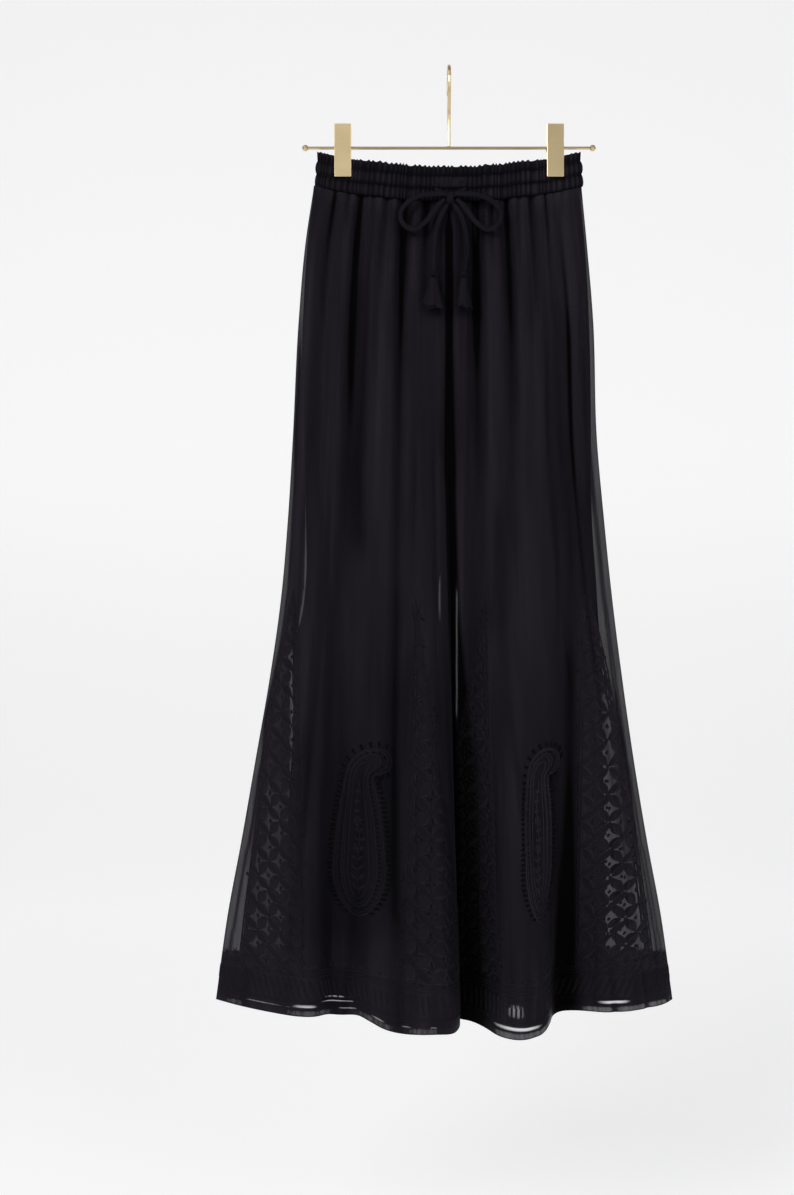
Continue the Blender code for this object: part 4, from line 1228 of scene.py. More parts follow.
@dataclass
class Stitching:
    """Stitched shapes collected for one piece, each laid on a panel's cloth."""

    panel: Panel
    shapes: list[tuple[Array, Array, Array]] = field(default_factory=list)
    # folds holds the painted shade that each shape takes from the cloth under it
    folds: list[Array] = field(default_factory=list)
    off_cloth: float = 0.00005
    chain_pitch: float = 0.0026
    limits: Callable[[Array], tuple[Array, Array]] | None = None

    @property
    def flip(self) -> bool:
        """Whether faces must turn the other way to point out of this panel."""
        return self.panel.face is Face.FRONT

    def add(self, along: Array, height: Array, lift: Array, uv: Array, sunk: float = 0.0) -> None:
        """Adds (count, rows, columns) arrays of cloth places as that many small grids.

        Args:
            along: Widths along the cloth.
            height: Heights.
            lift: Distances off the cloth.
            uv: Length and share across of each point.
            sunk: Least painted shade, as if the shape lay that deep in a fold.
        """
        if self.limits:
            along = np.clip(along, *self.limits(height))
        points, fold = self.panel.lay(along, height, lift)
        self.folds.append(np.maximum(fold, sunk).ravel())
        self.shapes.append((points, patch_faces(*along.shape, self.flip), uv))

    def leaves(self, start: Array, end: Array, leaf: Leaf, sunk: float = 0.0) -> None:
        """Satin leaves of one form, widest half way.

        Args:
            start: (count, 2) places along and up the cloth.
            end: (count, 2) places of the tips.
            leaf: Their form.
            sunk: Least painted shade.
        """
        a = np.linspace(0.0, 1.0, leaf.rows)[None, :, None]
        b = np.linspace(-1.0, 1.0, leaf.columns)[None, None, :]
        run = end - start
        length = np.linalg.norm(run, axis=1)
        side = np.stack([-run[:, 1], run[:, 0]], axis=1) / length[:, None]
        shape = np.sin(math.pi * (0.02 + 0.96 * a)) ** leaf.point
        width = leaf.half * shape * b
        along, height = (
            start[:, axis, None, None] + run[:, axis, None, None] * a + side[:, axis, None, None] * width
            for axis in range(2)
        )
        hump = np.sqrt(np.clip(1 - b * b, 0, 1)) * (1 - leaf.vein * bell(b, 0.18))
        lift = np.broadcast_to(self.off_cloth + leaf.tall * hump * shape**0.5, along.shape)
        u = length[:, None, None] * a + 0.35 * np.abs(width)
        self.add(along, height, lift, pairs(u, b * 0.5 + 0.5), sunk)

    def dots(self, centre: Array, radius: float, tall: float) -> None:
        """Small raised knots."""
        reach = np.array([0.0, radius])
        self.leaves(centre - reach, centre + reach, Leaf(radius * 0.9, tall, 5, 5, 0.5))

    def ribbon(self, route: Array, half: float, tall: float, cable: float = 0.0, columns: int = 5) -> None:
        """A raised line of stitches along a route on the cloth.

        Its section is a half round of that half width, and cable makes it swell and narrow
        every few millimetres as chain stitch does.

        Args:
            route: (points, 2) places along and up the cloth.
            half: Half width.
            tall: Height off the cloth.
            cable: Share by which it swells.
            columns: Points across.
        """
        run = np.gradient(route, axis=0)
        side = np.stack([-run[:, 1], run[:, 0]], axis=1) / np.linalg.norm(run, axis=1, keepdims=True)
        length = run_lengths(route)[:, None]
        b = np.linspace(-1.0, 1.0, columns)
        swell = 1 - cable + cable * np.abs(np.sin(length * math.pi / self.chain_pitch))
        width = half * swell * b
        along, height = route[:, :1] + side[:, :1] * width, route[:, 1:] + side[:, 1:] * width
        lift = self.off_cloth + tall * swell * np.sqrt(np.clip(1 - b * b, 0, 1))
        self.add(along[None], height[None], lift[None], pairs(length, b * 0.5 + 0.5))

    def build(self, name: str, material: bpy.types.Material, replaces: Sequence[str]) -> bpy.types.Object:
        """Joins the shapes into one piece that stands for those CAD nodes."""
        numbers = {"fold": np.concatenate(self.folds)}
        return Piece(name, *joined(self.shapes), numbers).build(material, "embroidery_thread", replaces)


# Sub-assemblies


class KaliPlan(NamedTuple):
    """A tall embroidered triangle in X: point, foot on the border, lattice line; top in Z.

    The two edges bow: each runs as a power of the fall from the top.
    """

    name: str
    side: Side
    tip: float
    foot_upright: float
    foot_flared: float
    lattice: float
    top: float
    upright_bow: float = 1.0
    flared_bow: float = 1.0
    pitch: float = 0.0370
    leaf_half: float = 0.0055

    @property
    def inner(self) -> bool:
        """Whether it stands at the inseam, where its stitches are closer."""
        return self.name == "inseam"


KALIS = (
    KaliPlan("outseam", Side.RIGHT, -0.1790, -0.1655, -0.2430, -0.1790, -0.6050, 0.45, 0.76, 0.0300, 0.0058),
    KaliPlan("inseam", Side.RIGHT, -0.0380, -0.0520, 0.0180, -0.0520, -0.6150, leaf_half=0.0070),
    KaliPlan("inseam", Side.LEFT, 0.0400, 0.0540, -0.0400, 0.0540, -0.6150),
    KaliPlan("outseam", Side.LEFT, 0.1540, 0.1430, 0.2350, 0.1625, -0.6050, 0.35, 0.68, leaf_half=0.0050),
)


class Cover(NamedTuple):
    """Shares of the light that sheer cloth stops: the body's, and what each place adds to it."""

    body: float = 0.77
    hem_right: float = 0.19
    hem_left: float = 0.14
    hem_edge: float = 0.12
    border: float = 0.32
    seam: float = 0.20
    side_edge: float = 0.14
    inseam: float = 0.22
    overlap: float = 0.24
    veil: float = 0.24
    edge_line: float = -0.26
    waist: float = 0.20


@dataclass(frozen=True)
class OuterLegs:
    """The four sheer panels with their hem folds and side seams."""

    columns: int = 132
    upper_rows: int = 108
    hem_rows: int = 40
    hem_zone: float = 0.068
    under_band: float = 0.0018
    hem_fold: float = 0.0062
    border_top: float = 0.0560
    # How much darker the cloth is across the border band
    border_fold: float = 0.22
    parallax: float = 0.02
    cast: float = 0.55
    cast_spread: float = 0.0062
    cast_drop: float = 0.0022
    cast_foot: float = -0.30
    cut_waist: float = 0.21
    cut_hem: float = 0.38
    cut_length: float = 0.97

    def shares(self) -> tuple[Array, Array]:
        """Shares down and across: rows close together by the hem, columns by the inner edge."""
        upper = np.linspace(-self.under_band, 1 - self.hem_zone, self.upper_rows)
        down = np.concatenate([upper, np.linspace(1 - self.hem_zone, 1, self.hem_rows)[1:]])
        t = np.linspace(0, 1, self.columns)
        return down, t - 0.45 * np.sin(2 * math.pi * t) / (2 * math.pi) * (1 - t)

    def border(self, to_hem: Array) -> Array:
        """Where the hem's border lies, from 0 to 1."""
        return ease((to_hem - self.hem_fold) / 0.0008) * (1 - ease((to_hem - self.border_top) / 0.0020))

    def density(self, panel: Panel, across: Array, down: Array, points: Array) -> Array:
        """How much of the light the cloth stops at each point.

        A body value, less in the slits of the hem, more in the doubled hem, in the border,
        along the side seam and its edge, by the inseam, where the legs overlap and at the waist.
        """
        add = Cover()
        to_hem = (1 - down) * panel.drape.length
        hem = 1 - ease((to_hem - self.hem_fold) / 0.0006)
        cover = add.body + (add.hem_left if panel.side is Side.LEFT else add.hem_right) * hem
        cover = cover + add.hem_edge * (1 - ease(to_hem / 0.0012)) + add.border * self.border(to_hem)
        for slit in HEM_SLITS.get((panel.face, panel.side), ()):
            level = bell(to_hem - slit.lift, slit.half_height, 4.0)
            cover = cover - slit.clear * level * bell(across - slit.place, slit.half_width, 3.0)
        width = panel.blended(panel.widths, across, down)
        from_side = panel.widths[np.round(down * (panel.rows - 1)).astype(int), -1] - width
        below = ease((panel.drape.crotch + 0.03 - points[..., 2]) / 0.03)
        cover = cover + add.seam * bell(from_side - 0.0125, 0.0016) * ease(down / 0.05)
        cover = cover + add.side_edge * (1 - ease(from_side / 0.0022)) * ease((to_hem - 0.01) / 0.02)
        cover = cover + add.inseam * below * (1 - ease((width - 0.010) / 0.004))
        cover = cover + add.overlap * below * (1 - ease((np.abs(points[..., 0]) - 0.0130) / 0.0040))
        cover = cover + add.veil * self.veil(panel, points) + add.edge_line * self.edge_line(panel, points)
        return np.clip(cover + add.waist * (1 - ease(down / 0.02)), 0.05, 1.10)

    def seen(self, panel: Panel, points: Array) -> Array:
        """X at which the eye sees each point: the front looks wider than it is, the back narrower."""
        return EYE[0] + (points[..., 0] - EYE[0]) / (1 + self.parallax * panel.face.value)

    def veil(self, panel: Panel, points: Array) -> Array:
        """Where a leg's cloth is doubled in a fold outside the lining, as the picture shows it."""
        heights, inner, outer, share = np.array(VEILS[panel.side]).T
        reach, height = panel.side.value * self.seen(panel, points), points[..., 2]
        near = ease((reach - np.interp(height, heights, inner)) / 0.0016 + 0.5)
        far = ease((np.interp(height, heights, outer) - reach) / 0.0024 + 0.5)
        return near * far * np.interp(height, heights, share)

    def edge_line(self, panel: Panel, points: Array) -> Array:
        """The thin pale line where a leg's inner edge clears its lining."""
        line, height = EDGE_LINES[panel.side], points[..., 2]
        level = ease((line.top - height) / 0.020) * ease((height - line.foot) / 0.030)
        half = 0.0025 if panel.face is Face.BACK else 0.0011
        return level * bell(self.seen(panel, points) - line.place, half, 4.0)

    def near_cord(self, points: Array, traces: Array) -> Array:
        """The soft shade that the bow casts on the cloth: a bell curve of the distance to it."""
        shade = np.zeros(points.shape[:-1])
        rows = points[:, 0, 2] > self.cast_foot
        gap = points[rows][..., None, ::2] + np.array([0.0, self.cast_drop]) - traces
        shade[rows] = self.cast * bell(np.hypot(gap[..., 0], gap[..., 1]).min(axis=-1), self.cast_spread)
        return shade

    def build(self, panels: Sequence[Panel], traces: Array, finish: bpy.types.Material) -> None:
        """Builds the four panels as open sheets.

        Args:
            panels: The tables of the four panels.
            traces: X and Z of points along the bow, which shades the front.
            finish: The sheer cloth.
        """
        down, across = grid(*self.shares())
        for panel in panels:
            points = panel.drape.outer(panel.face, panel.side, across, down)
            border = self.border((1 - down) * panel.drape.length)
            # fold carries the panel's painted shade, the darker border band and, on the front, the bow's
            # painted shadow
            fold = panel.blended(panel.fold, across, down) + self.border_fold * border
            if panel.face is Face.FRONT:
                fold = fold + self.near_cord(points, traces)
            fold = np.clip(fold * (1 - self.edge_line(panel, points)), 0, 1)
            numbers = {"cover": self.density(panel, across, down, points), "fold": fold}
            faces = grid_faces(*across.shape, flip=panel.face.value * panel.side.value > 0)
            piece = Piece(f"sheer_{panel.name}", points, faces, pairs(across * 0.25, -down), numbers)
            made = piece.build(finish, "sheer_cloth", [f"panel_{panel.name}"])
            band = f"waistband_{panel.face.word}"


@dataclass(frozen=True)
class LiningLegs:
    """The four lining panels, narrower and shorter, that show through the sheer cloth."""

    columns: int = 60
    rows: int = 100
    lift: float = 0.0300
    cut: tuple = (0.21, 0.93)
    cut_area: float = 0.19

    def build(self, drape: Drape, finish: bpy.types.Material) -> None:
        """Builds the four linings as open sheets."""
        down, across = grid(np.linspace(0, 1, self.rows), np.linspace(0, 1, self.columns))
        for face, side in PANELS:
            name = panel_name(face, side)
            points = drape.lining(face, side, across, down, self.lift)
            faces = grid_faces(*across.shape, flip=face.value * side.value > 0)
            piece = Piece(f"lining_cloth_{name}", points, faces, pairs(across * 0.2, -down))
            made = piece.build(finish, "lining_cloth", [f"lining_{name}"])


@dataclass(frozen=True)
class Waistband:
    """The elastic waistband: a frill, a casing and a lower casing, all shirred."""

    gathers: int = 52
    columns: int = 460
    wall: float = 0.0016
    cover: float = 0.985
    clip_half: float = 0.016
    rows: tuple = (0.0, 0.25, 0.63, 1.0)
    puff: float = 0.0021
    ridge: float = 0.0032
    wander: tuple = (3, 7, 11, 17, 23)
    inner_rows: int = 6
    outer_rows: int = 40
    cut: tuple = (0.42, 0.083)
    stitch_count: int = 150
    stitch_half: float = 0.0042
    stitch_width: float = 0.011
    patch_half: float = 0.112
    patch_rows: tuple = (0.30, 0.60)
    eyelet_x: float = 0.0150
    eyelet_z: float = -0.1372

    def swell(self, face: Face, u: Array, v: Array) -> tuple[Array, Array]:
        """How far the gathers stand out, and the gathers' own wave.

        Between two rows of stitches the cloth swells as a half sine. Each row has about fifty
        narrow ridges round it, a cosine whose phase wanders, and they tighten at the stitches.
        """
        random = np.random.default_rng(5 + (face is Face.BACK))
        sizes, phases = random.uniform(0.6, 1.6, 5), random.uniform(0, 6, 5)
        wander = sum(size * np.sin(k * math.pi * u + p) for size, k, p in zip(sizes, self.wander, phases))
        edges = np.array(self.rows)
        row = np.clip(np.searchsorted(edges, v, side="right") - 1, 0, 2)
        share = (v - edges[row]) / (edges[row + 1] - edges[row])
        bulge = np.sqrt(np.clip(np.sin(math.pi * np.clip(share, 0, 1)), 0, 1))
        drift = 0.9 * row + 0.7 * np.sin(5 * math.pi * u + row)
        wave = np.cos(self.gathers * math.pi * u + wander + drift + 0.5 * (share - 0.5))
        uneven = 0.75 + 0.35 * np.sin(31 * u + 2.0 * row) * np.sin(13 * u + row)
        sharp = (0.5 + 0.5 * wave) ** 1.4
        frill = row == 0
        stand = np.where(frill, 0.4 + 0.6 * (1 - share), bulge)
        return stand * (self.puff + self.ridge * sharp * uneven), wave * frill * (1 - share)

    def hollows(self, face: Face, u: Array, v: Array) -> Array:
        """Painted shade in the hollows: how deep each point lies between two gathers or in a row of stitches.
        """
        stand, _ = self.swell(face, u, v)
        return np.clip(1.20 - stand / (0.60 * (self.puff + self.ridge)), 0, 1) ** 0.9

    def surface(self, drape: Drape, face: Face, u: Array, v: Array, inside: float) -> Array:
        """Points of the band: u runs right to left, v down, and inside 1 is the plain inner side."""
        half = drape.band_half_top + (drape.band_half_bottom - drape.band_half_top) * v
        x, height = half * u, drape.band_top(drape.band_half_top * u) - drape.band_height * v
        across = np.abs(u)
        low = np.minimum(height, STATIONS[0].height)
        right = drape.depth(face, Side.RIGHT, across, x, low, fine=False)
        left = drape.depth(face, Side.LEFT, across, x, low, fine=False)
        depth = np.where(u < 0, right, left) * drape.pinch(x, height) / drape.pinch(x, low)
        held = bell(np.abs(x) - drape.clip_place, self.clip_half, 4.0) * (height > drape.clip_bottom - 0.004)
        stand, frill = self.swell(face, u, v)
        x = x + np.sign(u) * (1 - inside) * 0.55 * stand * across**12
        stand = stand * (1 - 0.85 * held) * (1 - across**20)
        depth = depth + (1 - inside) * stand - inside * self.wall * (1 - across**12)
        height = height + 0.0007 * frill * (1 - held)
        return np.stack([x, face.value * np.maximum(depth, 0.0002), height], axis=-1)

    def build(self, drape: Drape, finish: bpy.types.Material, thread: bpy.types.Material) -> None:
        """Builds front and back as folded strips, with stitch rows and the eyelet patch."""
        v = np.concatenate([np.linspace(1, 0, self.inner_rows)[:-1], np.linspace(0, 1, self.outer_rows)])
        inside = np.concatenate([np.ones(self.inner_rows - 1), np.zeros(self.outer_rows)])[:, None]
        v, u = grid(v, np.linspace(-1, 1, self.columns))
        for face in Face:
            points = self.surface(drape, face, u, v, inside)
            faces = grid_faces(*u.shape, flip=face is Face.BACK)
            numbers = {"cover": np.full(u.shape, self.cover), "fold": self.hollows(face, u, v)}
            piece = Piece(f"shirred_band_{face.word}", points, faces, pairs(u * 0.3, v * 0.08), numbers)
            made = piece.build(finish, "sheer_cloth", [f"waistband_{face.word}"])
            self.stitches(drape, face, thread)
        self.eyelet_patch(drape, thread)

    def stitches(self, drape: Drape, face: Face, thread: bpy.types.Material) -> None:
        """Two rows of elastic thread that hold the gathers, each a line of short stitches."""
        shapes = []
        length, b = np.linspace(-1, 1, 3)[None, :, None], np.linspace(-1, 1, 3)[None, None, :]
        u = np.linspace(-0.985, 0.985, self.stitch_count)[:, None, None] + self.stitch_half * length + 0 * b
        for v in self.rows[1:3]:
            place = self.surface(drape, face, u, v + self.stitch_width * b + 0 * u, 0.0)
            place[..., 1] += face.value * (0.00025 + 0.0003 * (1 - b * b))
            shapes.append((place, patch_faces(*u.shape, face is Face.BACK), pairs(u * 0.15, b * 0.5 + 0.5)))
        Piece(f"elastic_stitches_{face.word}", *joined(shapes)).build(thread, "embroidery_thread")

    def eyelet_patch(self, drape: Drape, thread: bpy.types.Material) -> None:
        """The flat reinforced patch at the centre front, with an eyelet at each lower corner."""
        half, (top, foot) = self.patch_half, self.patch_rows
        v, u = grid(np.linspace(top, foot, 14), np.linspace(-half, half, 40))
        place = self.surface(drape, Face.FRONT, u, v, 0.0)
        smooth = place[..., 1].mean()
        middle, reach = (top + foot) / 2, (foot - top) / 2
        edge = np.minimum(ease((half - np.abs(u)) / 0.006), ease((reach - np.abs(v - middle)) / 0.03))
        place[..., 1] = place[..., 1] * 0.45 + smooth * 0.55 - 0.0005 * edge
        shapes = [(place, grid_faces(*u.shape), pairs(u * 0.15, 0.5))]
        ring, turn = grid(np.linspace(0, math.pi, 5), np.linspace(0, 2 * math.pi, 19))
        out = 0.0030 + 0.0010 * np.cos(ring)
        y = smooth - 0.0008 - 0.0008 * np.sin(ring)
        for side in Side:
            x, z = side.value * self.eyelet_x + out * np.cos(turn), self.eyelet_z + out * np.sin(turn)
            uv = pairs(turn * 0.003, ring / math.pi)
            shapes.append((np.stack([x, y, z], axis=-1), grid_faces(*x.shape), uv))
        Piece("eyelet_patch", *joined(shapes)).build(thread, "embroidery_thread")


class Line(NamedTuple):
    """A stitched line of a border or a paisley: its place, half width, height and swell."""

    at: float
    half: float
    tall: float
    cable: float


class Bar(NamedTuple):
    """A leaf of the border's bars: its ends as (steps along, share up), and its form."""

    start: tuple[float, float]
    end: tuple[float, float]
    leaf: Leaf


@dataclass(frozen=True)
class HemBorder:
    """The embroidered border: double lines with dots, a row of hooked bars, and double lines."""

    points: int = 260
    ends: float = 0.004
    lines: tuple = (
        Line(0.0150, 0.0006, 0.0005, 0.4),
        Line(0.0172, 0.0006, 0.0005, 0.4),
        Line(0.0458, 0.0007, 0.0005, 0.4),
        Line(0.0488, 0.0006, 0.0005, 0.4),
        Line(0.0530, 0.0007, 0.0005, 0.4),
    )
    pitch: float = 0.0082
    step: float = 0.22
    bar_foot: float = 0.0188
    bar_head: float = 0.0440
    bars: tuple = (
        Bar((0.0, 0.00), (0.0, 0.62), Leaf(0.0013, 0.0008, 7, 5, 0.45)),
        Bar((1.0, 0.10), (1.0, 0.92), Leaf(0.0008, 0.0006, 6, 3, 0.45)),
        Bar((-1.0, 0.52), (0.4, 0.98), Leaf(0.0012, 0.0008, 6, 5, 0.60)),
        Bar((0.0, 0.62), (-1.5, 0.86), Leaf(0.0009, 0.0007, 6, 3, 0.60)),
    )
    dot: tuple = (0.0010, 0.0006)
    dot_level: float = 0.0509
    dot_pitch: float = 0.0042
    sprig: Leaf = Leaf(0.0009, 0.0006, 5, 3, 0.7)
    sprig_level: float = 0.0560
    sprig_run: tuple = (0.0026, 0.0058)
    sprig_share: float = 0.6

    def build(self, panel: Panel, finish: bpy.types.Material) -> None:
        """Stitches one panel's border, following the hem's own line."""
        work = Stitching(panel)
        for line in self.lines:
            work.ribbon(self.route(panel, line.at), *line[1:])
        low, high = self.route(panel, self.bar_foot), self.route(panel, self.bar_head)
        count = int(low[-1, 0] / self.pitch)
        at = (np.arange(count) + 0.5) / count
        foot = self.at(low, at)
        up = pairs(0.0, self.at(high, at)[:, 1] - foot[:, 1])
        step = np.array([self.pitch * self.step, 0.0])
        for bar in self.bars:
            start, end = (foot + along * step + climb * up for along, climb in (bar.start, bar.end))
            work.leaves(start, end, bar.leaf)
        dots = np.linspace(self.ends, 1 - self.ends, int(low[-1, 0] / self.dot_pitch))
        work.dots(self.at(self.route(panel, self.dot_level), dots), *self.dot)
        count = int(count * self.sprig_share)
        sprigs = self.at(self.route(panel, self.sprig_level), (np.arange(count) + 0.5) / count)
        for way in (1.0, -1.0):
            work.leaves(sprigs, sprigs + np.array([way, 1.0]) * self.sprig_run, self.sprig)
        work.build(f"border_stitches_{panel.name}", finish, [f"border_{panel.name}"])

    def route(self, panel: Panel, lift: float) -> Array:
        """A line that stays the same height above the hem."""
        shares = np.linspace(self.ends, 1 - self.ends, self.points)
        down = np.full(shares.shape, 1 - lift / panel.drape.length)
        _, height = panel.drape.places(panel.face, panel.side, shares, down)
        return pairs(panel.blended(panel.widths, shares, down), height)

    def at(self, line: Array, share: Array) -> Array:
        """Points at shares of a route's width."""
        where = share * line[-1, 0]
        return pairs(where, np.interp(where, *line.T))


@dataclass(frozen=True)
class Kali:
    """A tall triangle of crossing leaves that leaves four-pointed windows of bare cloth."""

    step_up: float = 0.0310
    behind: float = 0.030
    foot: float = -1.0360
    columns: int = 16
    middle_column: int = 6
    uneven: float = 0.0006
    leaf_gap: float = 0.07
    margin: float = 0.0006
    clear: float = 0.004
    crossing: Leaf = Leaf(0.0055, 0.0009, 9, 9, 0.85, 0.55)
    crossing_margin: float = 0.0080
    flower_margin: float = 0.002
    window_margin: float = 0.004
    flower_dot: tuple = (0.0017, 0.0009)
    window_dot: tuple = (0.0022, 0.0010)
    petals: int = 6
    petal: Leaf = Leaf(0.0014, 0.0008, 6, 5, 0.7, 0.3)
    petal_reach: float = 0.0086
    shaded_petal: float = 0.70
    shaded_leaf: float = 0.30
    edge_lines: tuple = (Line(0.0012, 0.0013, 0.0006, 0.25), Line(0.0048, 0.0016, 0.0007, 0.35))
    edge_leaf: Leaf = Leaf(0.0011, 0.0006, 5, 3, 0.7)
    edge_pitch: float = 0.0085
    edge_run: tuple = (0.0002, 0.0064)
    bud: Leaf = Leaf(0.0018, 0.0008, 7, 5, 0.8, 0.55)
    bud_height: float = 0.0130

    def edges(self, plan: KaliPlan, panel: Panel, height: Array) -> tuple[Array, Array]:
        """The two edges of the triangle as widths along the cloth, the smaller first."""
        fall = np.clip((plan.top - height) / (plan.top - self.foot), 0, 1)
        feet = (plan.foot_upright, plan.upright_bow), (plan.foot_flared, plan.flared_bow)
        ends = [panel.along_at(plan.tip + (foot - plan.tip) * fall**bow, height) for foot, bow in feet]
        return np.minimum(*ends), np.maximum(*ends)

    def lattice(self, plan: KaliPlan, panel: Panel, grow: float) -> tuple[Array, Array]:
        """Middles of the flowers and of the windows between them, as places on the cloth.

        Each is moved a little at random. At the back the lattice is grown away from the eye's
        own place, so that its windows line up with the front's in the picture.
        """
        rows = int((plan.top - self.foot) / (self.step_up / 2)) + 2
        i, j = (index.ravel() for index in grid(np.arange(self.columns), np.arange(rows)))
        place = EYE[0] + (plan.lattice - EYE[0]) * grow
        height = EYE[2] + (self.foot + j * self.step_up / 2 - EYE[2]) * grow
        shift = (i - self.middle_column) * plan.pitch / 2 * grow
        corner = pairs(panel.along_at(place, height) + shift, height)
        corner = corner + np.random.default_rng(71).normal(0.0, self.uneven, corner.shape)
        flower = (i + j) % 2 == 0
        return corner[flower], corner[~flower]

    def build(self, plan: KaliPlan, panel: Panel, finish: bpy.types.Material) -> None:
        """Stitches the triangle: leaves along both diagonals of a lattice, dots in the windows."""
        work = Stitching(panel)
        fine = np.linspace(self.foot - 0.004, plan.top, 120)
        low, high = self.edges(plan, panel, fine)
        low, high = low + self.margin, high - self.margin
        work.limits = lambda height: (np.interp(height, fine, low), np.interp(height, fine, high))
        grow = 1.0 + self.behind * (panel.face is Face.BACK)
        crossing = self.crossing._replace(half=plan.leaf_half)
        flower, window = self.lattice(plan, panel, grow)
        for way in (-1.0, 1.0):
            run = np.array([way * plan.pitch / 2, self.step_up / 2]) * grow
            start = flower[self.inside(plan, panel, flower + run / 2, self.crossing_margin)]
            gap, end = run * self.leaf_gap, start + run
            # At the inseam the leaves of one way are painted in shade
            sunk = self.shaded_leaf * (plan.inner and way > 0)
            work.leaves(start + gap, end - gap, crossing, sunk)
        work.limits = None
        work.dots(flower[self.inside(plan, panel, flower, self.flower_margin)], *self.flower_dot)
        window = window[self.inside(plan, panel, window, self.window_margin)]
        work.dots(window, *self.window_dot)
        for petal in range(self.petals * plan.inner):
            turn = (petal + 0.5) * 2 * math.pi / self.petals
            reach = self.petal_reach * np.array([math.cos(turn), math.sin(turn)])
            # Every other petal is painted in shade
            work.leaves(window + 0.35 * reach, window + reach, self.petal, self.shaded_petal * (petal % 2))
        self.outline(plan, panel, work)
        name = f"{plan.name}_{panel.name}"
        work.build(f"kali_stitches_{name}", finish, [f"kali_{name}"])

    def inside(self, plan: KaliPlan, panel: Panel, place: Array, margin: float) -> Array:
        """Which places lie between the triangle's edges, below its top and above its foot."""
        low, high = self.edges(plan, panel, place[:, 1])
        level = (place[:, 1] < plan.top - 0.002) & (place[:, 1] > self.foot)
        side = np.ones(len(place))
        most = panel.blended(panel.widths, side, panel.down_at(side, place[:, 1])) - self.clear
        after = place[:, 0] > np.maximum(low, self.clear) - margin
        return level & after & (place[:, 0] < np.minimum(high, most) + margin)

    def outline(self, plan: KaliPlan, panel: Panel, work: Stitching) -> None:
        """Two lines up both edges, and at the inseam small leaves beside them and a bud on top."""
        fine = np.linspace(self.foot, plan.top - 0.006, 160)
        for edge, way in zip(self.edges(plan, panel, fine), (1.0, -1.0)):
            route = pairs(edge, fine)[edge > self.clear]
            for line in self.edge_lines if len(route) > 8 else ():
                work.ribbon(route + np.array([way * line.at, 0.0]), *line[1:])
        if not plan.inner:
            return
        height = np.arange(self.foot + 0.004, plan.top - 0.004, self.edge_pitch)
        for edge, way in zip(self.edges(plan, panel, height), (-1.0, 1.0)):
            start = pairs(edge, height)
            end = start + np.array([way, 1.0]) * self.edge_run
            keep = (start[:, 0] > 0.003) & (end[:, 0] > 0.003)
            work.leaves(start[keep], end[keep], self.edge_leaf)
        tip = pairs(panel.along_at(np.full(1, plan.tip), np.full(1, plan.top)), plan.top - 0.006)
        work.leaves(tip, tip + np.array([0.0, self.bud_height]), self.bud)


class Fringe(NamedTuple):
    """A row of short bars in painted shade round a paisley: its ring, where bars start and end, their form.
    """

    ring: float
    start: float
    end: float
    leaf: Leaf


PAISLEY_PLACES = {Side.RIGHT: (-0.1040, 1.0), Side.LEFT: (0.0985, 0.80)}


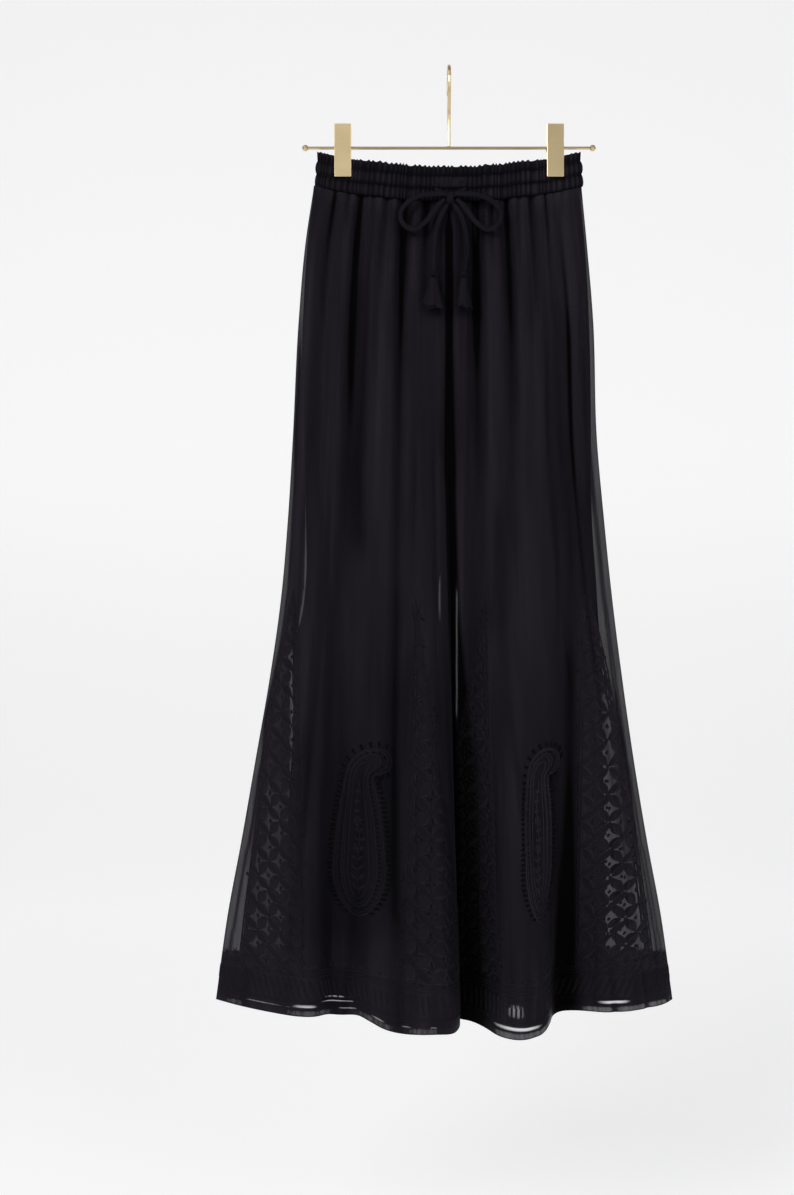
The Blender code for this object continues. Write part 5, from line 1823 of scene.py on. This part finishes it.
@dataclass(frozen=True)
class Paisley:
    """A tall paisley of concentric rows round a filled middle, with a fringe of short bars."""

    height: float = 0.2070
    hook: float = 112.0
    taper: tuple = (
        (0.26, 0.0340), (0.49, 0.0286), (0.63, 0.0235), (0.71, 0.0195), (0.80, 0.0165), (0.90, 0.0145),
        (0.97, 0.0105), (1.00, 0.0030),
    )
    foot: float = -0.9710
    spine_points: int = 241
    rows: tuple = (
        Line(0.98, 0.0010, 0.0008, 0.3),
        Line(0.88, 0.0007, 0.0006, 0.5),
        Line(0.70, 0.0009, 0.0008, 0.3),
        Line(0.60, 0.0006, 0.0005, 0.5),
        Line(0.42, 0.0008, 0.0007, 0.3),
    )
    bars: int = 76
    fringes: tuple = (
        Fringe(1.00, 0.0016, 0.0084, Leaf(0.0017, 0.0014, 5, 5, 0.4)),
        Fringe(0.79, -0.0016, 0.0022, Leaf(0.0011, 0.0006, 5, 5, 0.4)),
    )
    stem: tuple = (0.0006, 0.0005)
    stem_span: tuple = (0.026, 0.152)
    leaf_levels: tuple = (0.030, 0.150, 0.0110)
    leaf_reach: tuple = (0.0100, 0.0075)
    stem_leaf: Leaf = Leaf(0.0016, 0.0007, 6, 5, 0.8, 0.55)
    flowers_at: tuple = (0.046, 0.078, 0.108)
    flower_dot: tuple = (0.0016, 0.0012)
    petal: Leaf = Leaf(0.0015, 0.0010, 5, 5, 0.6, 0.55)
    petal_span: tuple = (0.0022, 0.0064)

    def ring(self, scale: float, share: Array, grow: float = 0.0) -> Array:
        """Points round the paisley at a share of its size.

        A spine rises straight and then turns over. The half width swells as a circle does and
        then follows the taper. share runs 0 to 1 up one side and 1 to 2 down the other.

        Args:
            scale: Share of the half width.
            share: Where round the ring.
            grow: Metres added to the half width.

        Returns:
            (points, 2) across and up from the foot.
        """
        t = np.where(share <= 1, share, 2 - share)
        way = np.where(share <= 1, 1.0, -1.0)
        first, last = (1 - scale) * 0.17, 1 - (1 - scale) * 0.24
        t = first + t * (last - first)
        fine = np.linspace(0, 1, self.spine_points)
        heading = math.radians(self.hook) * ease((fine - 0.70) / 0.28)
        step = self.height / (self.spine_points - 1)
        x, z = (np.append(0, np.cumsum(part(heading))[:-1] * step) for part in (np.sin, np.cos))
        fattest, half_there = self.taper[0]
        rounded = np.sqrt(np.clip(1 - ((t - fattest) / (fattest - first + 1e-9)) ** 2, 0, 1))
        places, halves = np.array(self.taper).T
        tapered = smooth_curve(fattest + (t - fattest) * (1 - fattest) / (last - fattest), places, halves)
        half = scale * np.where(t < fattest, half_there * rounded, tapered) + grow
        turn = np.interp(t, fine, heading)
        across = np.interp(t, fine, x) + way * half * np.cos(turn)
        return pairs(across, np.interp(t, fine, z) - way * half * np.sin(turn))

    def build(self, panel: Panel, finish: bpy.types.Material) -> None:
        """Stitches the paisley: five rows, two rows of short bars in painted shade, and flowers inside."""
        work = Stitching(panel)
        centre, narrow = PAISLEY_PLACES[panel.side]

        def laid(shape: Array) -> Array:
            """Turns paisley coordinates into places on the cloth, its spine upright in X."""
            height = self.foot + shape[:, 1]
            return pairs(panel.along_at(centre, height) + panel.side.value * narrow * shape[:, 0], height)

        share = np.linspace(0.0, 2.0, 200)
        for row in self.rows:
            work.ribbon(laid(self.ring(row.at, share)), *row[1:])
        bars = np.linspace(0.02, 1.98, self.bars)
        for fringe in self.fringes:
            start, end = (laid(self.ring(fringe.ring, bars, grow)) for grow in (fringe.start, fringe.end))
            # The bars are painted in full shade
            work.leaves(start, end, fringe.leaf, sunk=1.0)
        self.flowers(work, laid)
        work.build(f"paisley_stitches_{panel.name}", finish, [f"paisley_{panel.name}"])

    def flowers(self, work: Stitching, laid: Callable[[Array], Array]) -> None:
        """A stem of paired leaves up the middle and small six-petalled flowers on it."""
        level, line = np.arange(*self.leaf_levels), np.linspace(*self.stem_span, 60)
        stem, route = (pairs(0.002 * np.sin(at * 90), at) for at in (level, line))
        work.ribbon(laid(route), *self.stem)
        for way in (-1.0, 1.0):
            reach = np.array([way, 1.0]) * self.leaf_reach
            reach = np.clip((0.17 - level) / 0.13, 0.35, 1)[:, None] * reach
            work.leaves(laid(stem), laid(stem + reach), self.stem_leaf)
        turns = np.arange(6) * math.pi / 3 + 0.3
        petal = pairs(np.cos(turns), np.sin(turns))
        for up in self.flowers_at:
            centre = np.array([[0.0, up]])
            work.dots(laid(centre), *self.flower_dot)
            start, end = (laid(centre + petal * out) for out in self.petal_span)
            work.leaves(start, end, self.petal)


def swept(
    path: Array, half_width: Array | float, half_depth: Array | float, turn: Array | float = 0.0,
    sides: int = 20, crease: float = 0.45,
) -> tuple[Array, Array, Array]:
    """A tube along a path: an ellipse at each point, in the plane across the path.

    The section's long axis starts level across the path and is turned by an angle, and crease
    presses a groove along its outer face.

    Args:
        path: (points, 3) route.
        half_width: Half the section's width, at each point or all along.
        half_depth: Half its depth.
        turn: Angle of the long axis.
        sides: Points round.
        crease: Share of the depth pressed in.

    Returns:
        Points, faces and uv of the closed tube.
    """
    tangent = np.gradient(path, axis=0)
    tangent /= np.linalg.norm(tangent, axis=1, keepdims=True)
    forward = np.array([0.0, Face.FRONT.value, 0.0])
    out = forward - tangent * (tangent @ forward)[:, None]
    out /= np.linalg.norm(out, axis=1, keepdims=True)
    angle = np.arange(sides) * 2 * math.pi / sides
    wide, deep = np.cos(angle), np.sin(angle)
    pressed = deep * (1 - crease * bell(wide, 0.28) * (deep > 0))
    half_width, half_depth, turn = (
        np.broadcast_to(size, len(path))[:, None] for size in (half_width, half_depth, turn)
    )
    across = wide * half_width * np.cos(turn) - pressed * half_depth * np.sin(turn)
    ahead = wide * half_width * np.sin(turn) + pressed * half_depth * np.cos(turn)
    side = np.cross(tangent, out)
    points = path[:, None] + across[..., None] * side[:, None] + ahead[..., None] * out[:, None]
    first, last = (np.broadcast_to(end, (1, sides, 3)) for end in (path[0], path[-1]))
    points = np.concatenate([first, points, last])
    length = np.pad(run_lengths(path), 1, mode="edge")
    uv = pairs(*grid(length, np.arange(sides) / sides))
    return points, grid_faces(len(points), sides, wrap=True, flip=True), uv


@dataclass(frozen=True)
class Drawstring:
    """The drawstring outside its casing: knot, bow, free ends and folded cloth tassels."""

    knot: Point = (0.0010, -0.0220, -0.1545)
    knot_size: Point = (0.0090, 0.0100, 0.0120)
    width: float = 0.0062
    depth: float = 0.0040
    gap: float = 0.0003
    loop_points: int = 70
    tail_points: int = 60
    tassel_height: float = 0.0390
    tassel_half: float = 0.0130
    tassel_neck: Sequence[float] = (0.0026, 0.0024)
    tassel_depth: float = 0.0062
    tassel_wall: float = 0.0009
    tassel_rows: int = 26
    tassel_inner_rows: int = 10
    tassel_columns: int = 73
    tassel_turns: Sequence[float] = (0.15, -0.60)
    tassel_left: float = 0.78
    binding_turns: int = 5
    binding_pitch: float = 0.00075
    binding_reach: float = 0.0033

    def loop_route(self, sign: float) -> Array:
        """Route of one loop of the bow, out along its top and back along its foot."""
        start = self.knot_size[0] / 2 + self.gap
        offsets = (
            (start, -0.0024, 0.0031), (0.0180, -0.0034, 0.0030), (0.0360, -0.0045, 0.0000),
            (0.0500, -0.0050, -0.0080), (0.0570, -0.0045, -0.0200), (0.0530, -0.0040, -0.0320),
            (0.0420, -0.0040, -0.0370), (0.0300, -0.0045, -0.0300), (0.0190, -0.0040, -0.0160),
            (0.0125, -0.0030, -0.0075), (start + 0.0020, -0.0026, -0.0026),
        )
        return np.array(self.knot) + np.array(offsets) * np.array([sign, 1.0, 1.0])

    def tail_route(self, sign: float) -> Array:
        """Route of one free end, from under the knot to its tassel."""
        under = self.knot[2] - self.knot_size[2] / 2 - self.gap
        sweeps = {-1.0: (0.0032, 0.0095, 0.0160, 0.0195, 0.0200)}
        sweeps[1.0] = (0.0032, 0.0108, 0.0160, 0.0182, 0.0148)
        fronts = (0.0022, -0.0005, -0.0045, -0.0100, -0.0140)
        drops = (0.0, -0.0120, -0.0300, -0.0560, -0.0820)
        offsets = np.array([sweeps[sign], fronts, drops]).T * np.array([sign, 1.0, 1.0])
        return np.array([self.knot[0], self.knot[1], under]) + offsets

    def resampled(self, route: Array, count: int) -> tuple[Array, float]:
        """A smooth curve through the route's points, and its length."""
        along = run_lengths(route)
        at = np.linspace(0, along[-1], count)
        path = np.stack([smooth_curve(at, along, route[:, axis]) for axis in range(3)], axis=1)
        return path, float(run_lengths(path)[-1])

    def traces(self) -> Array:
        """X and Z of points along both loops and both free ends, tassels included."""
        paths = [self.resampled(self.loop_route(side.value), 60)[0] for side in Side]
        for side in Side:
            path = self.resampled(self.tail_route(side.value), 60)[0]
            skirt = np.linspace(path[-1], path[-1] - np.array([0.0, 0.0, self.tassel_height]), 20)
            paths += [path, skirt - np.array([0.0040, 0.0, 0.0]), skirt + np.array([0.0040, 0.0, 0.0])]
        return np.concatenate(paths)[:, ::2]

    def build(self, finish: bpy.types.Material) -> None:
        """Builds the knot, and then for each side its loop, its free end and its short run."""
        self.knot_piece(finish)
        for side in Side:
            self.loop(side, finish)
            self.free_end(side, finish)
            self.short_run(side, finish)

    def loop(self, side: Side, finish: bpy.types.Material) -> None:
        """One loop of the bow, pinched at both ends and a little uneven along its length."""
        path, length = self.resampled(self.loop_route(side.value), self.loop_points)
        share = np.linspace(0, 1, self.loop_points)
        pinch = 1 - 0.28 * (bell(share, 0.05) + bell(share - 1, 0.05))
        wide = self.width / 2 * pinch * (1 + 0.06 * np.sin(share * 23))
        deep = self.depth / 2 * (1 + 0.10 * np.sin(share * 31 + 1))
        shape = swept(path, wide, deep, 0.5 * np.sin(share * math.pi) * side.value)
        loop = Piece(f"loop_{side.word}", *shape).build(finish, "drawstring_cloth", [f"bow_loop_{side.word}"])

    def free_end(self, side: Side, finish: bpy.types.Material) -> None:
        """One free end, which twists on its way down, and its tassel."""
        path, length = self.resampled(self.tail_route(side.value), self.tail_points)
        share = np.linspace(0, 1, self.tail_points)
        wide = self.width / 2 * (1 - 0.25 * bell(share, 0.05) - 0.30 * bell(share - 1, 0.04))
        deep = self.depth / 2 * (1 + 0.12 * np.sin(share * 19 + side.value))
        shape = swept(path, wide, deep, (0.25 if side is Side.RIGHT else 0.9) * ease(share * 1.2))
        tail = Piece(f"tail_{side.word}", *shape).build(finish, "drawstring_cloth", [f"bow_tail_{side.word}"])
        tassel = self.tassel(side, path[-1], finish)

    def short_run(self, side: Side, finish: bpy.types.Material) -> None:
        """The thin stretch of cord between an eyelet and the knot."""
        sign = side.value
        x = self.knot[0] + sign * (self.knot_size[0] / 2 + self.gap)
        route = np.array([
            (x - sign * 0.002, self.knot[1] + 0.0038, self.knot[2] + 0.0034),
            (x + sign * 0.0060, self.knot[1] + 0.0030, self.knot[2] + 0.0072),
            (x + sign * 0.0128, self.knot[1] + 0.0052, self.knot[2] + 0.0112),
        ])
        path, _ = self.resampled(route, 16)
        piece = Piece(f"short_run_{side.word}", *swept(path, 0.0023, 0.0015, sides=12, crease=0.3))
        piece.build(finish, "drawstring_cloth", [f"drawstring_{side.word}"])

    def knot_piece(self, finish: bpy.types.Material) -> None:
        """The knot: one wrap of the cord over two strands that cross under it."""
        x, y, z = self.knot
        turn = np.linspace(0, 2 * math.pi, 40)
        offsets = np.stack([0.0008 * np.sin(turn), -0.0038 * np.cos(turn), 0.0048 * np.sin(turn)], axis=1)
        shapes = [self.wrapped(np.array(self.knot) + offsets)]
        for sign in (-1.0, 1.0):
            route = np.array([
                (x + sign * 0.0046, y - 0.0016, z + 0.0030),
                (x, y - 0.0012, z + 0.0010 * sign),
                (x - sign * 0.0030, y + 0.0006, z - 0.0056),
            ])
            path, _ = self.resampled(route, 18)
            shapes.append(swept(path, 0.0031, 0.0024, sides=14, crease=0.2))
        Piece("bow_knot", *joined(shapes)).build(finish, "drawstring_cloth", ["knot"])

    def wrapped(self, path: Array) -> tuple[Array, Array, Array]:
        """A closed band round the knot: a flattened ring 8 mm wide along X."""
        angle = np.linspace(0, 2 * math.pi, 17)[:, None]
        out = path - path.mean(axis=0)
        out /= np.linalg.norm(out, axis=1, keepdims=True)
        rings = path[:, None] + 0.0040 * np.cos(angle) * np.array([1.0, 0.0, 0.0])
        rings = rings + 0.0013 * np.sin(angle) * out[:, None]
        uv = pairs(*grid(np.linspace(0, 0.03, len(path)), angle[:, 0] / (2 * math.pi)))
        return rings, grid_faces(*rings.shape[:2]), uv

    def tassel(self, side: Side, top: Array, finish: bpy.types.Material) -> bpy.types.Object:
        """A folded cloth tassel: a hollow cone whose folds deepen to its cut edge.

        Its radius grows with the share down, and seven lobes swell by a share of it. The inner
        wall follows 1 mm inside.

        Args:
            side: Which end of the drawstring.
            top: Where the cord meets it.
            finish: The cloth.

        Returns:
            The tassel's object.
        """
        left = side is Side.LEFT
        turn = self.tassel_turns[left]
        random = np.random.default_rng(31 + left)
        angle = np.linspace(0, 2 * math.pi, self.tassel_columns)[None, :]
        outer, inner = np.linspace(0, 1, self.tassel_rows), np.linspace(1, 0.35, self.tassel_inner_rows)
        down = np.concatenate([outer, inner])[:, None]
        wall = np.concatenate([0 * outer, 0 * inner + self.tassel_wall])[:, None]
        waves = ((0.10, 7), (0.06, 3))
        lobes = sum(size * np.cos(count * angle + random.uniform(0, 6)) for size, count in waves)
        folds, flare = 1 + lobes * ease(down * 1.4), down**1.1
        feet = (self.tassel_half * (self.tassel_left if left else 1.0), self.tassel_depth)
        ends = zip(self.tassel_neck, feet)
        half, flat = ((neck + (foot - neck) * flare) * folds - wall for neck, foot in ends)
        across, ahead = half * np.cos(angle), flat * np.sin(angle)
        edge = 0.0012 * np.cos(5 * angle + 1.0) * down - 0.0022 * np.cos(angle) * down
        x = top[0] + across * math.cos(turn) - ahead * math.sin(turn)
        y = top[1] + across * math.sin(turn) + ahead * math.cos(turn)
        z = top[2] - 0.0004 - self.tassel_height * down * 0.985 + edge
        points = np.stack(np.broadcast_arrays(x, y, z), axis=-1)
        uv = pairs(down * self.tassel_height, angle / (2 * math.pi))
        shapes = [(points, grid_faces(*points.shape[:2], flip=True), uv), self.binding(top)]
        piece = Piece(f"cloth_tassel_{side.word}", *joined(shapes))
        return piece.build(finish, "drawstring_cloth", [f"tassel_{side.word}"])

    def binding(self, top: Array) -> tuple[Array, Array, Array]:
        """The thread wound round a tassel's neck: a thin tube in a helix."""
        full = 2 * math.pi
        along, around = grid(np.linspace(0, full * self.binding_turns, 121), np.linspace(0, full, 7))
        level = top[2] - 0.0028 - self.binding_pitch * along / full
        reach = self.binding_reach + 0.0004 * np.cos(around)
        x, y = top[0] + reach * np.cos(along), top[1] + reach * np.sin(along)
        coil = np.stack([x, y, level + 0.0004 * np.sin(around)], axis=-1)
        return coil, grid_faces(*along.shape), pairs(along * 0.003, around * 0.0001)


@dataclass(frozen=True)
class Hanger:
    """The brass hanger keeps its CAD shapes and gets its metal here."""

    nodes: tuple = ("hanger_bar", "hook", *(f"clip_{panel_name(*which)}" for which in PANELS),
                    *(f"clip_collar_{side.word}" for side in Side))

    def dress(self, frame: dict, finish: bpy.types.Material) -> None:
        """Gives every node of the hanger its brass."""
        for name in self.nodes:
            node = frame["nodes"][name]
            node.data.materials.clear()
            node.data.materials.append(finish)
            log.info("%s in brass", name)


@dataclass(frozen=True)
class Studio:
    """A level camera at the picture's distance, a pale sweep and soft lights."""

    eye: Point = EYE
    focal: float = 1587.0
    picture_height: float = 1195.0
    sensor: float = 36.0
    floor: float = -1.42
    near: float = -5.0
    wall: float = 3.6
    half_width: float = 7.0
    rise: float = 5.5
    bend: float = 1.2
    aim: Point = (0.0, 0.0, -0.6)
    lights: tuple = (("key", (-1.5, -2.6, 0.9), 1.2, 52.0), ("fill", (1.7, -2.7, 0.5), 1.6, 22.0))
    daylight: float = 0.26

    def camera(self) -> None:
        """Adds the camera: its lens gives the picture's focal length in pixels."""
        data = bpy.data.cameras.new("camera")
        data.sensor_fit = "VERTICAL"
        data.sensor_height = self.sensor
        data.lens = self.focal / self.picture_height * self.sensor
        data.clip_start, data.clip_end = 0.05, 60.0
        made = bpy.data.objects.new("camera", data)
        made.location = self.eye
        made.rotation_euler = (math.pi / 2, 0.0, 0.0)
        bpy.context.scene.collection.objects.link(made)
        bpy.context.scene.camera = made

    def sweep(self, finish: bpy.types.Material) -> None:
        """A pale floor that curves up into a wall behind: flat, a quarter circle, then upright."""
        t, x = grid(np.linspace(0, 1, 60), np.linspace(-self.half_width, self.half_width, 12))
        spans = ((0.0, 0.4), (0.4, 0.2), (0.6, 0.4))
        flat, turn, upright = (np.clip((t - start) / share, 0, 1) for start, share in spans)
        turn = turn * math.pi / 2
        y = self.near + (self.wall - self.bend - self.near) * flat + self.bend * np.sin(turn)
        z = self.floor + self.bend * (1 - np.cos(turn)) + self.rise * upright
        points = np.stack([x, y, z], axis=-1)
        mesh = bpy.data.meshes.new("sweep")
        mesh.from_pydata(points.reshape(-1, 3).tolist(), [], grid_faces(*x.shape, flip=True).tolist())
        mesh.shade_smooth()
        mesh.materials.append(finish)
        made = bpy.data.objects.new("sweep", mesh)
        bpy.context.scene.collection.objects.link(made)

    def light(self, name: str, place: Point, size: float, power: float) -> None:
        """Adds one soft square light that faces the middle of the garment."""
        data = bpy.data.lights.new(name, "AREA")
        data.size, data.energy = size, power
        made = bpy.data.objects.new(name, data)
        made.location = place
        aim = np.array(self.aim) - np.array(place)
        aim /= np.linalg.norm(aim)
        made.rotation_euler = (math.acos(-aim[2]), 0.0, math.atan2(-aim[0], aim[1]))
        bpy.context.scene.collection.objects.link(made)

    def build(self, finish: bpy.types.Material) -> None:
        """Adds the sweep, two lights and an even world."""
        self.sweep(finish)
        for lamp in self.lights:
            self.light(*lamp)
        world = bpy.data.worlds.new("studio")
        world.use_nodes = True
        sky = world.node_tree.nodes["Background"].inputs
        sky["Color"].default_value = (1.0, 1.0, 1.0, 1.0)
        sky["Strength"].default_value = self.daylight
        bpy.context.scene.world = world
        bpy.context.scene.view_settings.view_transform = "Standard"


def main() -> None:
    """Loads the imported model, then builds and dresses each sub-assembly in turn."""
    logging.basicConfig(level=logging.INFO, format="%(name)s %(message)s", force=True)
    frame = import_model()
    studio = Studio()
    studio.camera()
    thread = Needlework().material()
    pale_thread = Needlework("paisley_thread", (0.0060, 0.0050, 0.0074), (0.0270, 0.0228, 0.0326)).material()
    drawstring = Drawstring()
    drawstring.build(CordCloth().material())
    drape = Drape()
    panels = [Panel(drape, *which) for which in PANELS]
    sheer = SheerCloth().material()
    OuterLegs().build(panels, drawstring.traces(), sheer)
    LiningLegs().build(drape, LiningCloth().material())
    Waistband().build(drape, sheer, thread)
    for panel in panels:
        HemBorder().build(panel, thread)
        Paisley().build(panel, pale_thread)
        for plan in KALIS:
            if plan.side is panel.side:
                Kali().build(plan, panel, thread)
    Hanger().dress(frame, SatinBrass().material())
    studio.build(Backdrop().material())


if __name__ == "__main__":
    main()
